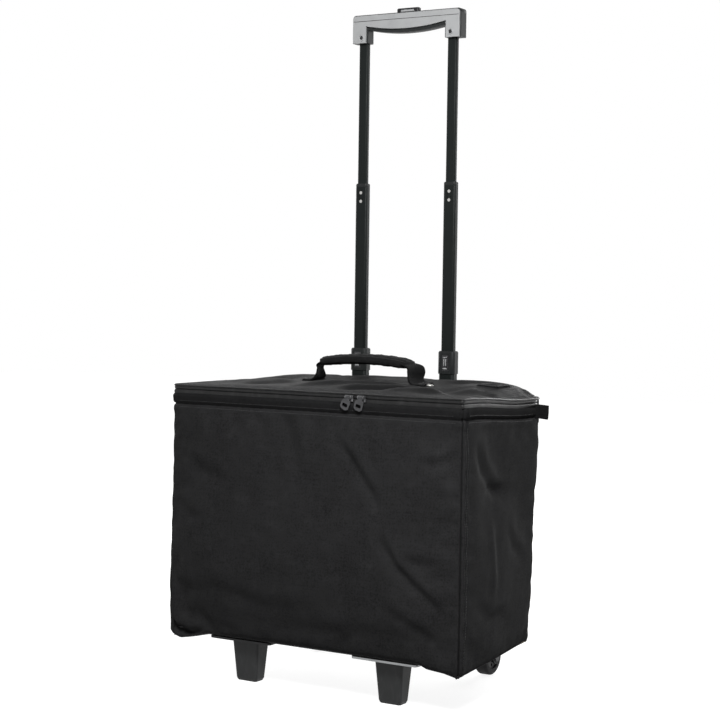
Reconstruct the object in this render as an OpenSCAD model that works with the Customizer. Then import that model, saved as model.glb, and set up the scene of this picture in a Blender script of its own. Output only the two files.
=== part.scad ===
// Wheeled soft case for two bowling balls, with a zipped lid, a carry handle
// and a three-stage telescopic trolley handle behind the back panel.
// Millimetres. +X is the right side seen from the front, -Y the front, +Z up.
// The origin lies on the ground under the middle of the whole object.

/* [Case] */
// Width of the case, side to side
body_w = 480; // [400:5:600]
// Depth of the case, front to back
body_d = 245; // [204:1:320]
// Height of the underside of the case above the ground
base_z = 64; // [62:1:80]
// Height of the walls, from the underside to the zip
wall_h = 351; // [270:1:420]
// Thickness of the padded fabric walls
wall_t = 5; // [3:0.5:8]
// Thickness of the fabric under the case
bottom_t = 3; // [2:0.5:5]
// Radius of the two upright corners at the back
corner_r = 30; // [15:1:40]
// Thickness of the lining
lining_t = 0.8; // [0.5:0.1:1.5]
// Thickness of the stiff boards inside the base and the back
board_t = 3; // [2:0.5:5]

/* [Ball cups] */
// Diameter of the ball that a cup holds
ball_d = 218; // [214:1:219]
// Radius of the seat in each cup
seat_r = 80; // [60:1:80]
// Height of the foam cups
cup_h = 40; // [40:1:60]

/* [Zip and lid] */
// Height of the zip between the walls and the lid's edge
band_h = 11.5; // [11.5:0.5:20]
// Thickness of the zip tape
tape_t = 1.2; // [0.8:0.1:2]
// Height of one half of the zip's coil
coil_h = 2.4; // [2:0.1:2.4]
// Running gap between the two halves of the coil
coil_gap = 1.6; // [1.4:0.1:2]
// Radius of the piping round the lid
piping_r = 1.2; // [1:0.1:1.2]
// Height of the lid's crown above the piping
dome_h = 9.5; // [8:0.5:30]
// Thickness of the padded lid
lid_t = 6; // [4:0.5:8]
// Distance between the middles of the two zip sliders
slider_pitch = 20; // [18:1:30]
// Where the two sliders meet, measured from the middle of the case
slider_x = 74; // [-100:1:120]
// Length of a zip slider
slider_l = 12; // [10:0.5:14]
// Length of a zip pull below its pin
pull_l = 19; // [16:1:30]
// Width of a zip pull
pull_w = 14; // [8:0.5:17]
// Thickness of a zip pull
pull_t = 1.8; // [1.2:0.1:2.4]

/* [Carry handle] */
// Width of the handle's webbing
strap_w = 38; // [25:1:50]
// Thickness of the folded webbing
strap_t = 3; // [2:0.5:4]
// Distance from the middle of the lid to the foot of each strap
foot_x = 86; // [70:1:100]
// Length of the sewn foot of each strap
strap_foot_l = 14; // [8:1:20]
// Length of the padded grip
carry_l = 143; // [100:1:150]
// Thickness of the padded grip
carry_t = 12; // [8:0.5:16]
// Gap for the fingers under the grip
carry_gap = 24; // [18:1:40]
// Room left between the handle's webbing and the back edge of the lid's flat crown
carry_in = 1.4; // [1.4:0.1:40]
// Distance from the middle of the lid to each rivet
rivet_x = 106; // [104:1:120]

/* [Trolley handle] */
// Distance from the middle to each pole
pole_x = 76.7; // [60:0.1:85]
// Gap between the back panel and the poles
pole_gap = 5; // [4:0.5:12]
// Width of an outer tube
outer_w = 25.2; // [23:0.1:28]
// Depth of an outer tube
outer_d = 16; // [15.8:0.1:20]
// Width of a middle tube
middle_w = 20.2; // [18:0.1:20.5]
// Depth of a middle tube
middle_d = 12.6; // [12:0.1:13]
// Width of an upper tube
upper_w = 15.6; // [12:0.1:16]
// Depth of an upper tube
upper_d = 9.4; // [8:0.1:10]
// Wall thickness of the tubes
tube_t = 1.1; // [0.8:0.05:1.2]
// How far the outer tubes stand above the case's wall
outer_rise = 64; // [55:1:110]
// Length of the middle stage that shows when it is pulled out
middle_travel = 247; // [150:1:260]
// Length of the upper stage that shows when it is pulled out
upper_travel = 213; // [120:1:230]
// Length of tube that stays inside the next tube when pulled out
overlap = 60; // [40:1:80]

/* [Grip] */
// Width of the grip
grip_w = 184; // [170:1:210]
// Front to back size of the grip
grip_d = 22; // [20:0.5:30]
// Height of the grip from the bottoms of its legs
grip_h = 41; // [38:0.5:55]
// Width of a leg of the grip's shells
leg_w = 23; // [20:0.5:30]
// Travel of the release button
button_travel = 5; // [3:0.5:6]

/* [Feet and wheels] */
// Distance from the middle to each foot
front_foot_x = 120.3; // [80:0.1:140]
// Distance of the feet behind the front of the case
front_foot_y = 34; // [26:1:60]
// Width of the top of a foot
foot_w = 45; // [30:1:50]
// Depth of the top of a foot
foot_d = 31; // [22:1:45]
// Width of a foot's mounting plate
plate_w = 105; // [75:1:120]
// Thickness of a foot's mounting plate
plate_t = 3; // [2:0.5:5]
// Distance from the middle to each wheel
wheel_x = 148; // [125:1:160]
// Radius of a wheel
wheel_r = 27; // [20:0.5:28]
// Width of a wheel
wheel_w = 20; // [14:0.5:26]
// Distance of the axles behind the back panel
axle_y = 19; // [16:0.5:30]
// Radius of an axle
axle_r = 4; // [3:0.1:5]

/* [Hidden] */
$fn = 64;
left = -1;
right = 1;

// Clearances
running_gap = 0.35;    // round a sliding tube
bore_gap = 0.08;       // round a turning pin, on the radius
seat_gap = 0.1;        // round a fixed tube in its socket
soft_gap = 0.3;        // between soft pieces

// Screws and rivets
screw_r = 1.7;
screw_hole_r = 1.75;
nut_r = 3;
nut_t = 1.5;
rivet_r = 2;
rivet_hole_r = 2.1;

// Levels of the case
wall_z = base_z + bottom_t;
seam_z = base_z + wall_h;
lid_z = seam_z + band_h;
zip_z = seam_z + band_h / 2;

// Pins of the zip pulls, in front of the case
plate_gap = 0.6;
slider_plate_t = 1.4;
pull_pin_r = 1.1;
eye_r = 2.2;
pull_y = plate_gap + slider_plate_t + eye_r - 0.4;
front_reach = pull_y + eye_r;

// Depths, all measured from the front of the case
pole_y = body_d + pole_gap + outer_d / 2;
wheel_y = body_d + axle_y;
back_reach = wheel_y + wheel_r;
y_front = (front_reach - back_reach) / 2;

// Lining and cups
lining_in = wall_t + soft_gap;
cup_in = lining_in + lining_t + soft_gap;
board_in = wall_t + 2;
floor_z = wall_z + board_t;
cup_z = floor_z + lining_t;
back_board_w = body_w - 2 * corner_r - 20;

// Zip
tape_in = 1;
coil_t = 2.4;
coil_in = tape_in + (tape_t - coil_t) / 2;
zip_end = body_d - corner_r;

// Lid
lid_in = piping_r + 0.2;
shoulder_in = 34;
crown_in_share = 0.28;
crown_in = body_d * crown_in_share;
carry_y = body_d - crown_in - lid_t - carry_in - strap_w / 2;
shoulder_share = 0.62;
crown_z = lid_z + dome_h;
lid_edge_z = lid_z - 0.8;
plate_under_t = 2;

// Trolley tubes
outer_r = 4;
middle_r = 3.4;
upper_r = 2.8;
bracket_t = 5;
bracket_h = 26;
tube_foot_z = base_z + 12;
outer_top = seam_z + outer_rise - 4;
collar_h = 30;
collar_t = 1.2;
collar_lip = 4;
collar_top = outer_top + collar_lip;
lip_h = 5;
middle_top = collar_top + middle_travel;
middle_foot = outer_top - overlap;
lip_top = middle_top + lip_h;
leg_z = lip_top + upper_travel;
upper_foot = middle_top - overlap;
plug_h = 16;
insert_h = 26;

// Grip
shell_t = 3;
core_d = grip_d - 2 * shell_t;
grip_top = leg_z + grip_h;
core_proud = 1.5;
bar_h = 16;
bar_sag = 7;
core_under = 5.5;
socket_top = grip_top - 19;
channel_z = grip_top - 17;
bar_z = channel_z + button_travel + 1;
bar_t = 3.5;
button_w = 38;
button_d = 10;
button_rise = 6.5;
rod_r = 1.5;
spring_r = 3;
wire_r = 0.4;
wire_sides = 6;
spring_steps = 12;

// Feet and wheels
plate_z = base_z - plate_t;
hub_r = 18;
cheek_t = 3.5;
cheek_gap = 1.5;

// ---------------------------------------------------------------- helpers

// Places children that are measured from the front of the case
module from_front() {
    translate([0, y_front, 0]) children();
}

// Outline of the case seen from above: square front corners, round back ones
module plan(inset = 0, back = 0) {
    w = body_w - 2 * inset;
    d = body_d - 2 * inset - back;
    r = max(corner_r - inset, 1);
    translate([-w / 2, inset]) square([w, d - r]);
    translate([r - w / 2, inset]) square([w - 2 * r, d]);
    for (side = [left, right])
        translate([side * (w / 2 - r), inset + d - r]) circle(r);
}

// Band that follows the outline, between two insets
module plan_ring(outer, inner) {
    difference() {
        plan(outer);
        plan(inner);
    }
}

// Front, sides and nothing behind the start of the back corners
module three_sides(end = zip_end) {
    intersection() {
        children();
        translate([-body_w, 0]) square([2 * body_w, end]);
    }
}

// The back with its two corners
module back_side() {
    intersection() {
        children();
        translate([-body_w, zip_end]) square([2 * body_w, body_d]);
    }
}

// Rectangle with round corners
module rounded(w, d, r) {
    square([w - 2 * r, d], center = true);
    square([w, d - 2 * r], center = true);
    for (x = [-1, 1], y = [-1, 1])
        translate([x * (w / 2 - r), y * (d / 2 - r)]) circle(r, $fn = 32);
}

// Upright rounded block, hollow if a bore size is given
module tube(w, d, r, z0, z1) {
    translate([0, 0, z0]) linear_extrude(z1 - z0) difference() {
        rounded(w, d, r);
        rounded(w - 2 * tube_t, d - 2 * tube_t, max(r - tube_t, 0.6));
    }
}

module block(w, d, r, z0, z1) {
    translate([0, 0, z0]) linear_extrude(z1 - z0) rounded(w, d, r);
}

// Places children at one pole
module at_pole(side) {
    translate([side * pole_x, y_front + pole_y, 0]) children();
}

// Cylinder along X
module x_cylinder(r, length) {
    rotate([0, 90, 0]) cylinder(h = length, r = r, center = true);
}

// Cylinder along Y, starting at the origin and going backwards
module y_cylinder(r, length) {
    rotate([-90, 0, 0]) cylinder(h = length, r = r);
}

// ------------------------------------------------------------------- case

module front_panel() {
    color([0.15, 0.15, 0.16]) from_front()
        translate([-body_w / 2, 0, wall_z]) cube([body_w, wall_t, wall_h - bottom_t]);
}

module side_panel(side) {
    color([0.17, 0.17, 0.18]) from_front()
        translate([side * (body_w - wall_t) / 2 - wall_t / 2, wall_t, wall_z])
            cube([wall_t, zip_end - wall_t, wall_h - bottom_t]);
}

module back_panel() {
    color([0.14, 0.14, 0.15]) difference() {
        from_front() translate([0, 0, wall_z]) linear_extrude(wall_h - bottom_t)
            back_side() plan_ring(0, wall_t);
        bracket_screw_places() y_cylinder(screw_hole_r, 40);
    }
}

module bottom_panel() {
    color([0.12, 0.12, 0.12]) difference() {
        from_front() translate([0, 0, base_z]) linear_extrude(bottom_t) plan(0);
        foot_screw_places() cylinder(h = 20, r = rivet_hole_r, center = true);
    }
}

module lining() {
    color([0.25, 0.25, 0.26]) from_front() {
        difference() {
            translate([0, 0, floor_z]) linear_extrude(seam_z - floor_z) plan(lining_in, board_t);
            translate([0, 0, floor_z + lining_t]) linear_extrude(seam_z)
                plan(lining_in + lining_t, board_t);
        }
    }
}

module base_board() {
    color([0.2, 0.2, 0.2]) difference() {
        from_front() translate([0, 0, wall_z]) linear_extrude(board_t) plan(board_in);
        foot_screw_places() cylinder(h = 40, r = screw_hole_r, center = true);
    }
}

module back_board() {
    color([0.2, 0.2, 0.2]) difference() {
        from_front() translate([-back_board_w / 2, body_d - wall_t - board_t, floor_z])
            cube([back_board_w, board_t, seam_z - 12 - floor_z]);
        bracket_screw_places() {
            y_cylinder(screw_hole_r, 40);
            translate([0, -1, 0]) y_cylinder(nut_r + 0.05, nut_t + 1);
        }
    }
}

// Foam block with a round seat: the ball rests on its rim and clears its floor
module ball_cup(side) {
    cup_w = body_w / 2 - cup_in - 1;
    cup_d = body_d - 2 * cup_in - board_t;
    flare = 6;
    ball_r = ball_d / 2;
    recess = ball_r - sqrt(ball_r * ball_r - seat_r * seat_r) + 3;
    color([0.3, 0.3, 0.32]) from_front()
        translate([side * (1 + cup_w / 2), cup_in + cup_d / 2, cup_z]) difference() {
            translate([-cup_w / 2, -cup_d / 2, 0]) intersection() {
                cube([cup_w, cup_d, cup_h]);
                translate([cup_w / 2 - side * corner_r, cup_d / 2 - corner_r, 0])
                    linear_extrude(cup_h) rounded(cup_w + 2 * corner_r, cup_d + 2 * corner_r,
                        corner_r);
            }
            translate([0, 0, cup_h - recess]) cylinder(h = recess + 1, r = seat_r);
            translate([0, 0, cup_h - flare]) cylinder(h = flare + 0.01, r1 = seat_r,
                r2 = seat_r + flare);
        }
}

// ---------------------------------------------------------------- zip band

module zip_lower_tape() {
    coil_z = zip_z - coil_gap / 2 - coil_h;
    color([0.08, 0.08, 0.08]) from_front() {
        translate([0, 0, seam_z]) linear_extrude(coil_z + 0.5 - seam_z)
            three_sides() plan_ring(tape_in, tape_in + tape_t);
        translate([0, 0, coil_z]) linear_extrude(coil_h)
            three_sides() plan_ring(coil_in, coil_in + coil_t);
    }
}

module zip_upper_tape() {
    coil_z = zip_z + coil_gap / 2;
    tape_top = lid_z - piping_r - 0.1;
    end = zip_end - 0.6;
    color([0.08, 0.08, 0.08]) from_front() {
        translate([0, 0, coil_z + coil_h - 0.5]) linear_extrude(tape_top - coil_z - coil_h + 0.5)
            three_sides(end) plan_ring(tape_in, tape_in + tape_t);
        translate([0, 0, coil_z]) linear_extrude(coil_h)
            three_sides(end) plan_ring(coil_in, coil_in + coil_t);
    }
}

// Fabric strip that joins the back panel to the lid
module hinge_band() {
    color([0.12, 0.12, 0.12]) from_front()
        translate([0, 0, seam_z]) linear_extrude(band_h - piping_r - soft_gap)
            back_side() plan_ring(tape_in, tape_in + 2);
}

// Folded webbing tabs at the two ends of the zip
module zip_tabs() {
    tab_l = 16;
    tab_h = 20;
    tab_t = 4;
    color([0.08, 0.08, 0.08]) from_front()
        for (side = [left, right])
            translate([side * (body_w + tab_l) / 2, zip_end - tab_t, seam_z - tab_h / 2 - 5])
                cube([tab_l, tab_t, tab_h], center = true);
}

// Sliders sit on the coil at the front, on each side of slider_x
function slider_place(side) = slider_x + side * slider_pitch / 2;

module zip_slider(side) {
    height = 2 * coil_h + coil_gap + 2.4;
    back_y = coil_in + coil_t + plate_gap;
    front_y = coil_in - plate_gap;
    lug_t = 1.4;
    lug_x = slider_l / 2 - 1.6;
    post_w = 2.4;
    color([0.35, 0.35, 0.37]) from_front() translate([slider_place(side), 0, zip_z]) {
        translate([-slider_l / 2, back_y, -height / 2]) cube([slider_l, 1.2, height]);
        translate([-slider_l / 2, front_y - slider_plate_t, -height / 2])
            cube([slider_l, slider_plate_t, height]);
        translate([-post_w / 2, front_y - 0.1, -coil_gap / 2 + 0.2])
            cube([post_w, back_y - front_y + 0.2, coil_gap - 0.4]);
        translate([0, -pull_y, 2]) {
            x_cylinder(pull_pin_r, 2 * lug_x);
            for (end = [-1, 1]) translate([end * lug_x, 0, 0]) {
                x_cylinder(eye_r - 0.2, lug_t);
                translate([-lug_t / 2, 0, 0.2 - eye_r])
                    cube([lug_t, pull_y + front_y - slider_plate_t + 0.1, 2 * eye_r - 0.4]);
            }
        }
    }
}

module zip_pull(side) {
    eye_w = slider_l - 5.4;
    neck = 4;
    color([0.4, 0.4, 0.42]) from_front()
        translate([slider_place(side), -pull_y, zip_z + 2]) difference() {
            union() {
                x_cylinder(eye_r, eye_w);
                translate([-eye_w / 2, -pull_t / 2, -neck - 1]) cube([eye_w, pull_t, neck + 1]);
                translate([0, pull_t / 2, -neck - (pull_l - neck) / 2]) rotate([90, 0, 0])
                    linear_extrude(pull_t) difference() {
                        rounded(pull_w, pull_l - neck, 5);
                        translate([0, -(pull_l - neck) / 2 + 6.5]) {
                            square([4, 5], center = true);
                            for (end = [-1, 1]) translate([end * 2, 0]) circle(2.5, $fn = 24);
                        }
                    }
            }
            x_cylinder(pull_pin_r + bore_gap, eye_w + 2);
            // room for the slider's face behind the eye
            translate([-pull_w, pull_t / 2, -pull_l]) cube([2 * pull_w, 4, pull_l - eye_r]);
        }
}

// --------------------------------------------------------------------- lid

// Domed body of the lid: inset from the edge, lowered by drop, down to z0
module dome(inset, drop, z0) {
    hull() {
        translate([0, 0, z0]) linear_extrude(lid_z + 1 - drop * 0.4 - z0, $fn = 32)
            plan(lid_in + inset, $fn = 32);
        translate([0, 0, lid_z + dome_h * shoulder_share - drop - 0.01]) linear_extrude(0.01)
            plan(shoulder_in + inset, $fn = 32);
        translate([0, 0, crown_z - drop - 0.01]) linear_extrude(0.01)
            plan(crown_in + inset, $fn = 32);
    }
}

module lid_panel() {
    color([0.2, 0.2, 0.21]) difference() {
        from_front() dome(0, 0, lid_edge_z);
        from_front() dome(lid_t * 0.8, lid_t, lid_edge_z - 5);
        handle_rivet_places() cylinder(h = 40, r = rivet_hole_r, center = true);
    }
}

// Stiff strip inside the lid that spreads the load of the carry handle
module handle_plate() {
    color([0.15, 0.15, 0.15]) difference() {
        from_front() translate([0, carry_y, crown_z - lid_t - plate_under_t])
            linear_extrude(plate_under_t) rounded(2 * rivet_x + 16, strap_w + 4, 6);
        handle_rivet_places() cylinder(h = 60, r = rivet_hole_r, center = true);
    }
}

module lid_piping() {
    side_l = body_d - corner_r;
    back_l = body_w - 2 * corner_r;
    color([0.1, 0.1, 0.1]) from_front() translate([0, 0, lid_z]) {
        x_cylinder(piping_r, body_w);
        translate([0, body_d, 0]) x_cylinder(piping_r, back_l);
        for (side = [left, right]) {
            translate([side * body_w / 2, 0, 0]) {
                sphere(piping_r);
                y_cylinder(piping_r, side_l);
            }
            translate([side * back_l / 2, side_l, 0]) rotate([0, 0, side > 0 ? 0 : 90])
                rotate_extrude(angle = 90) translate([corner_r, 0]) circle(piping_r, $fn = 32);
        }
    }
}

// Rivets beyond the feet of the carry handle
module handle_rivet_places() {
    for (side = [left, right])
        translate([side * rivet_x, y_front + carry_y, crown_z]) children();
}

module handle_rivets() {
    grip_t = lid_t + plate_under_t;
    color([0.8, 0.8, 0.8]) handle_rivet_places() {
        cylinder(h = 1.4, r1 = 4, r2 = 2.6);
        translate([0, 0, -grip_t - 0.5]) cylinder(h = grip_t + 1, r = rivet_r);
        translate([0, 0, -grip_t - 1]) cylinder(h = 1, r = 4);
    }
}

// Webbing of the carry handle: feet sewn on the lid, legs and the top run
module handle_strap() {
    top_x = carry_l / 2 + 2;
    top_z = carry_gap + (carry_t - strap_t) / 2;
    half = [[top_x, top_z + strap_t], [top_x + strap_t, top_z + strap_t / 2],
        [foot_x + strap_t + 1, strap_t], [foot_x + strap_foot_l, strap_t],
        [foot_x + strap_foot_l, 0], [foot_x, 0], [top_x - 1, top_z]];
    color([0.09, 0.09, 0.09]) from_front()
        translate([0, carry_y + strap_w / 2, crown_z]) rotate([90, 0, 0])
            linear_extrude(strap_w)
                polygon(concat(half, [for (i = [len(half) - 1:-1:0]) [-half[i].x, half[i].y]]));
}

module handle_grip() {
    color([0.12, 0.12, 0.12]) from_front()
        translate([-carry_l / 2, carry_y, crown_z + carry_gap + carry_t / 2])
            rotate([90, 0, 90]) linear_extrude(carry_l) difference() {
                rounded(strap_w + 4, carry_t, 4);
                square([strap_w + 0.4, strap_t + 0.4], center = true);
            }
}

// Pocket for a name card on the right end of the lid
module card_pocket() {
    pocket_w = 34;
    pocket_d = 40;
    pocket_t = 1.2;
    color([0.07, 0.07, 0.07]) from_front() intersection() {
        difference() {
            translate([0, 0, pocket_t]) dome(0, 0, lid_edge_z);
            dome(-0.05, -0.05, lid_edge_z - 5);
        }
        translate([body_w / 2 - 32 - pocket_w, carry_y + 8, lid_z + 4])
            cube([pocket_w, pocket_d, 60]);
    }
}

// ----------------------------------------------------------------- trolley

module bracket_screw_places() {
    for (x = [-1, 0, 1], z = bracket_levels)
        translate([x * (pole_x - outer_w / 2 - 14), y_front + body_d - wall_t - board_t,
            z + bracket_h / 2]) children();
}
bracket_levels = [base_z + 8, seam_z - bracket_h - 8];

// Plastic bracket that clamps both outer tubes against the back panel
module bracket(z, floor_t) {
    clamp_w = outer_w + 9;
    clamp_d = pole_gap + outer_d + 4;
    color([0.1, 0.1, 0.1]) difference() {
        union() {
            from_front() translate([-pole_x - clamp_w / 2, body_d, z])
                cube([2 * pole_x + clamp_w, bracket_t - 0.5, bracket_h]);
            for (side = [left, right])
                from_front() translate([side * pole_x - clamp_w / 2, body_d, z])
                    cube([clamp_w, clamp_d, bracket_h]);
        }
        for (side = [left, right])
            at_pole(side) block(outer_w + 2 * seat_gap, outer_d + 2 * seat_gap, outer_r,
                z + floor_t, z + bracket_h + 1);
        bracket_screw_places() y_cylinder(screw_hole_r, 40);
    }
}

module upper_bracket() {
    bracket(bracket_levels[1], -1);
}

module lower_bracket() {
    bracket(bracket_levels[0], tube_foot_z - bracket_levels[0]);
}

// Screws through the brackets and the back panel, into nuts let into the back board
module bracket_screws() {
    head_y = wall_t + board_t + bracket_t - 0.5;
    color([0.6, 0.6, 0.6]) bracket_screw_places() {
        y_cylinder(screw_r, head_y);
        translate([0, head_y, 0]) y_cylinder(3.4, 1.8);
        y_cylinder(nut_r, nut_t);
    }
}

module outer_tube(side) {
    color([0.13, 0.13, 0.13]) at_pole(side)
        tube(outer_w, outer_d, outer_r, tube_foot_z, outer_top);
}

// Collar on top of an outer tube, with a recess for its lock plate
module outer_collar(side) {
    w = outer_w + 2 * (collar_t + seat_gap);
    d = outer_d + 2 * (collar_t + seat_gap);
    color([0.1, 0.1, 0.1]) at_pole(side) difference() {
        union() {
            block(w, d, outer_r + 1, outer_top - collar_h, collar_top - 1.5);
            block(w - 2, d - 2, outer_r, collar_top - 2, collar_top);
        }
        block(outer_w + 2 * seat_gap, outer_d + 2 * seat_gap, outer_r,
            outer_top - collar_h - 1, outer_top);
        block(middle_w + 2 * running_gap, middle_d + 2 * running_gap, middle_r,
            outer_top - 1, collar_top + 1);
        translate([0, -d / 2, outer_top - 14]) cube([11.2, 1, 24.2], center = true);
    }
}

// Metal plates on the fronts of the outer collars, with a round catch
module lock_plates() {
    d = outer_d + 2 * (collar_t + seat_gap);
    color([0.55, 0.55, 0.56]) for (side = [left, right]) at_pole(side)
        translate([0, -d / 2, outer_top - 14]) {
            cube([11, 1, 24], center = true);
            translate([0, -1.1, 7]) y_cylinder(2.4, 1);
            translate([0, -1, -5]) cube([6, 1, 8], center = true);
        }
}

// ---------------------------------------------------------- middle stage

module rivet_places() {
    for (side = [left, right], drop = [9, 22])
        at_pole(side) translate([0, -middle_d / 2, middle_top - drop]) children();
}

module middle_tube(side) {
    color([0.13, 0.13, 0.13]) difference() {
        at_pole(side) tube(middle_w, middle_d, middle_r, middle_foot, middle_top);
        rivet_places() translate([0, -1, 0]) y_cylinder(2.5, 3);
    }
}

// Guides pressed into the tops of the middle tubes, with a lip on top
module middle_collars() {
    liner_w = middle_w - 2 * tube_t - 2 * seat_gap;
    liner_d = middle_d - 2 * tube_t - 2 * seat_gap;
    color([0.1, 0.1, 0.1]) for (side = [left, right]) at_pole(side) difference() {
        union() {
            block(liner_w, liner_d, middle_r - tube_t, middle_top - insert_h, middle_top + 1);
            block(middle_w, middle_d, middle_r, middle_top, lip_top - 1);
            block(middle_w - 1.2, middle_d - 1.2, middle_r, lip_top - 2, lip_top);
        }
        block(upper_w + 2 * 0.2, upper_d + 2 * 0.2, upper_r, middle_top - insert_h - 1,
            lip_top + 1);
    }
}

// Flush rivets that hold the guides, two on the front of each tube
module collar_rivets() {
    color([0.7, 0.7, 0.7]) rivet_places() translate([0, -0.15, 0])
        y_cylinder(2.4, tube_t + 0.15);
}

// Plugs at the feet of the middle tubes, with their lock pins drawn in
module middle_plugs() {
    wide = outer_w - 2 * tube_t - 2 * running_gap;
    deep = outer_d - 2 * tube_t - 2 * running_gap;
    color([0.75, 0.75, 0.72]) for (side = [left, right]) at_pole(side) {
        block(wide, deep, outer_r - tube_t, middle_foot - plug_h, middle_foot);
        block(middle_w - 2 * tube_t - 2 * seat_gap, middle_d - 2 * tube_t - 2 * seat_gap,
            middle_r - tube_t, middle_foot - 1, middle_foot + 10);
    }
}

// ----------------------------------------------------------- upper stage

module upper_tube(side) {
    color([0.13, 0.13, 0.13]) at_pole(side)
        tube(upper_w, upper_d, upper_r, upper_foot, socket_top);
}

module upper_plugs() {
    wide = middle_w - 2 * tube_t - 2 * running_gap;
    deep = middle_d - 2 * tube_t - 2 * running_gap;
    color([0.75, 0.75, 0.72]) for (side = [left, right]) at_pole(side) difference() {
        union() {
            block(wide, deep, middle_r - tube_t, upper_foot - plug_h, upper_foot);
            block(upper_w - 2 * tube_t - 2 * seat_gap, upper_d - 2 * tube_t - 2 * seat_gap,
                upper_r - tube_t, upper_foot - 1, upper_foot + 10);
        }
        translate([0, 0, upper_foot - plug_h + 3]) cylinder(h = 60, r = rod_r + running_gap);
    }
}

// Front view of the grip: a bar with a sagging underside and two legs
module grip_outline(grow, under, legs) {
    half = grip_w / 2 + grow;
    bar_z0 = grip_top - bar_h - under;
    span = 2 * (half - legs);
    arc_r = (span * span / 4 + bar_sag * bar_sag) / (2 * bar_sag);
    round_r = 5;
    difference() {
        union() {
            translate([-half, leg_z]) square([2 * half, grip_top - leg_z - round_r]);
            translate([-half + round_r, leg_z]) square([2 * (half - round_r), grip_h + grow]);
            for (side = [left, right])
                translate([side * (half - round_r), grip_top + grow - round_r]) circle(round_r);
        }
        difference() {
            translate([-span / 2, leg_z - 1]) square([span, bar_z0 - leg_z + 1]);
            intersection() {
                translate([0, bar_z0 - bar_sag + arc_r]) circle(arc_r, $fn = 256);
                translate([-span / 2 - 1, bar_z0 - bar_sag - 1]) square([span + 2, bar_sag + 2]);
            }
        }
    }
}

// Places children at the middle of the grip, at ground height
module at_grip() {
    translate([0, y_front + pole_y, 0]) children();
}

module grip_screw_places() {
    for (side = [left, right])
        translate([side * pole_x, y_front + pole_y - grip_d / 2, leg_z + 8]) children();
}

module grip_core() {
    color([0.06, 0.06, 0.06]) difference() {
        at_grip() translate([0, core_d / 2, 0]) rotate([90, 0, 0])
            linear_extrude(core_d) grip_outline(core_proud, core_under, leg_w + 4);
        for (side = [left, right]) at_pole(side) {
            block(upper_w + 2 * seat_gap, upper_d + 2 * seat_gap, upper_r, leg_z - 1, socket_top);
            translate([0, 0, socket_top - 1]) cylinder(h = 4, r = rod_r + 0.6);
        }
        at_grip() {
            translate([-pole_x - 4, -4, channel_z])
                cube([2 * pole_x + 8, 8, bar_z + bar_t + 1 - channel_z]);
            translate([-button_w / 2 - 0.3, -button_d / 2 - 0.3, channel_z])
                cube([button_w + 0.6, button_d + 0.6, grip_h]);
        }
        grip_screw_places() y_cylinder(1.55, 6.2);
    }
}

module grip_shell(side) {
    y = side > 0 ? core_d / 2 + shell_t : -core_d / 2;
    color([0.62, 0.62, 0.63]) difference() {
        at_grip() translate([0, y, 0]) rotate([90, 0, 0])
            linear_extrude(shell_t) grip_outline(0, 0, leg_w);
        grip_screw_places() {
            y_cylinder(1.6, 5);
            translate([0, -1, 0]) y_cylinder(3, 2.6);
        }
    }
}

module grip_screws() {
    color([0.3, 0.3, 0.3]) grip_screw_places() {
        translate([0, 0.4, 0]) y_cylinder(2.8, 1.2);
        y_cylinder(1.5, 6);
    }
}

// ------------------------------------------------------------ release

module push_button() {
    color([0.75, 0.75, 0.76]) at_grip()
        translate([0, 0, bar_z + bar_t]) {
            linear_extrude(grip_top + core_proud + button_rise - bar_z - bar_t - 1)
                rounded(button_w, button_d, 3);
            linear_extrude(grip_top + core_proud + button_rise - bar_z - bar_t)
                rounded(button_w - 2, button_d - 2, 2);
        }
}

// Cross bar in the grip with the two rods that reach the upper plugs
module push_rods() {
    color([0.7, 0.7, 0.7]) {
        at_grip() translate([-pole_x - 3, -3, bar_z]) cube([2 * pole_x + 6, 6, bar_t]);
        for (side = [left, right]) at_pole(side)
            translate([0, 0, upper_foot - 2]) cylinder(h = bar_z - upper_foot + 3, r = rod_r);
    }
}

// Corner k of section i of the spring's wire
function wire_point(i, k, pitch) =
    let (turn = i * 360 / spring_steps, tilt = k * 360 / wire_sides,
         r = spring_r + wire_r * cos(tilt))
    [r * cos(turn), r * sin(turn), pitch * i / spring_steps + wire_r * sin(tilt)];

module button_spring() {
    turns = 4;
    last = turns * spring_steps;
    pitch = (bar_z - channel_z - 2 * wire_r) / turns;
    points = [for (i = [0:last], k = [0:wire_sides - 1]) wire_point(i, k, pitch)];
    sides = [for (i = [0:last - 1], k = [0:wire_sides - 1])
        let (next = (k + 1) % wire_sides, a = i * wire_sides, b = a + wire_sides)
        [a + k, b + k, b + next, a + next]];
    caps = [[for (k = [0:wire_sides - 1]) k],
        [for (k = [wire_sides - 1:-1:0]) last * wire_sides + k]];
    color([0.8, 0.8, 0.8]) at_grip() translate([0, 0, channel_z + wire_r])
        polyhedron(points, concat(sides, caps), convexity = 6);
}

// ------------------------------------------------------- feet and wheels

module foot_screw_places() {
    for (side = [left, right], x = [-1, 1])
        translate([side * front_foot_x + x * (plate_w / 2 - 12), y_front + front_foot_y,
            base_z]) children();
}

// Tapered front foot with a rounded sole
module foot(side) {
    taper_w = 9;
    taper_d = 8;
    sole = 4;
    color([0.2, 0.2, 0.2]) from_front() translate([side * front_foot_x, front_foot_y, 0]) hull() {
        translate([0, 0, plate_z - 1]) linear_extrude(1) rounded(foot_w, foot_d, 4);
        translate([0, 0, sole]) linear_extrude(1)
            rounded(foot_w - taper_w, foot_d - taper_d, 4);
        linear_extrude(1) rounded(foot_w - taper_w - sole, foot_d - taper_d - sole, 3);
    }
}

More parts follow.
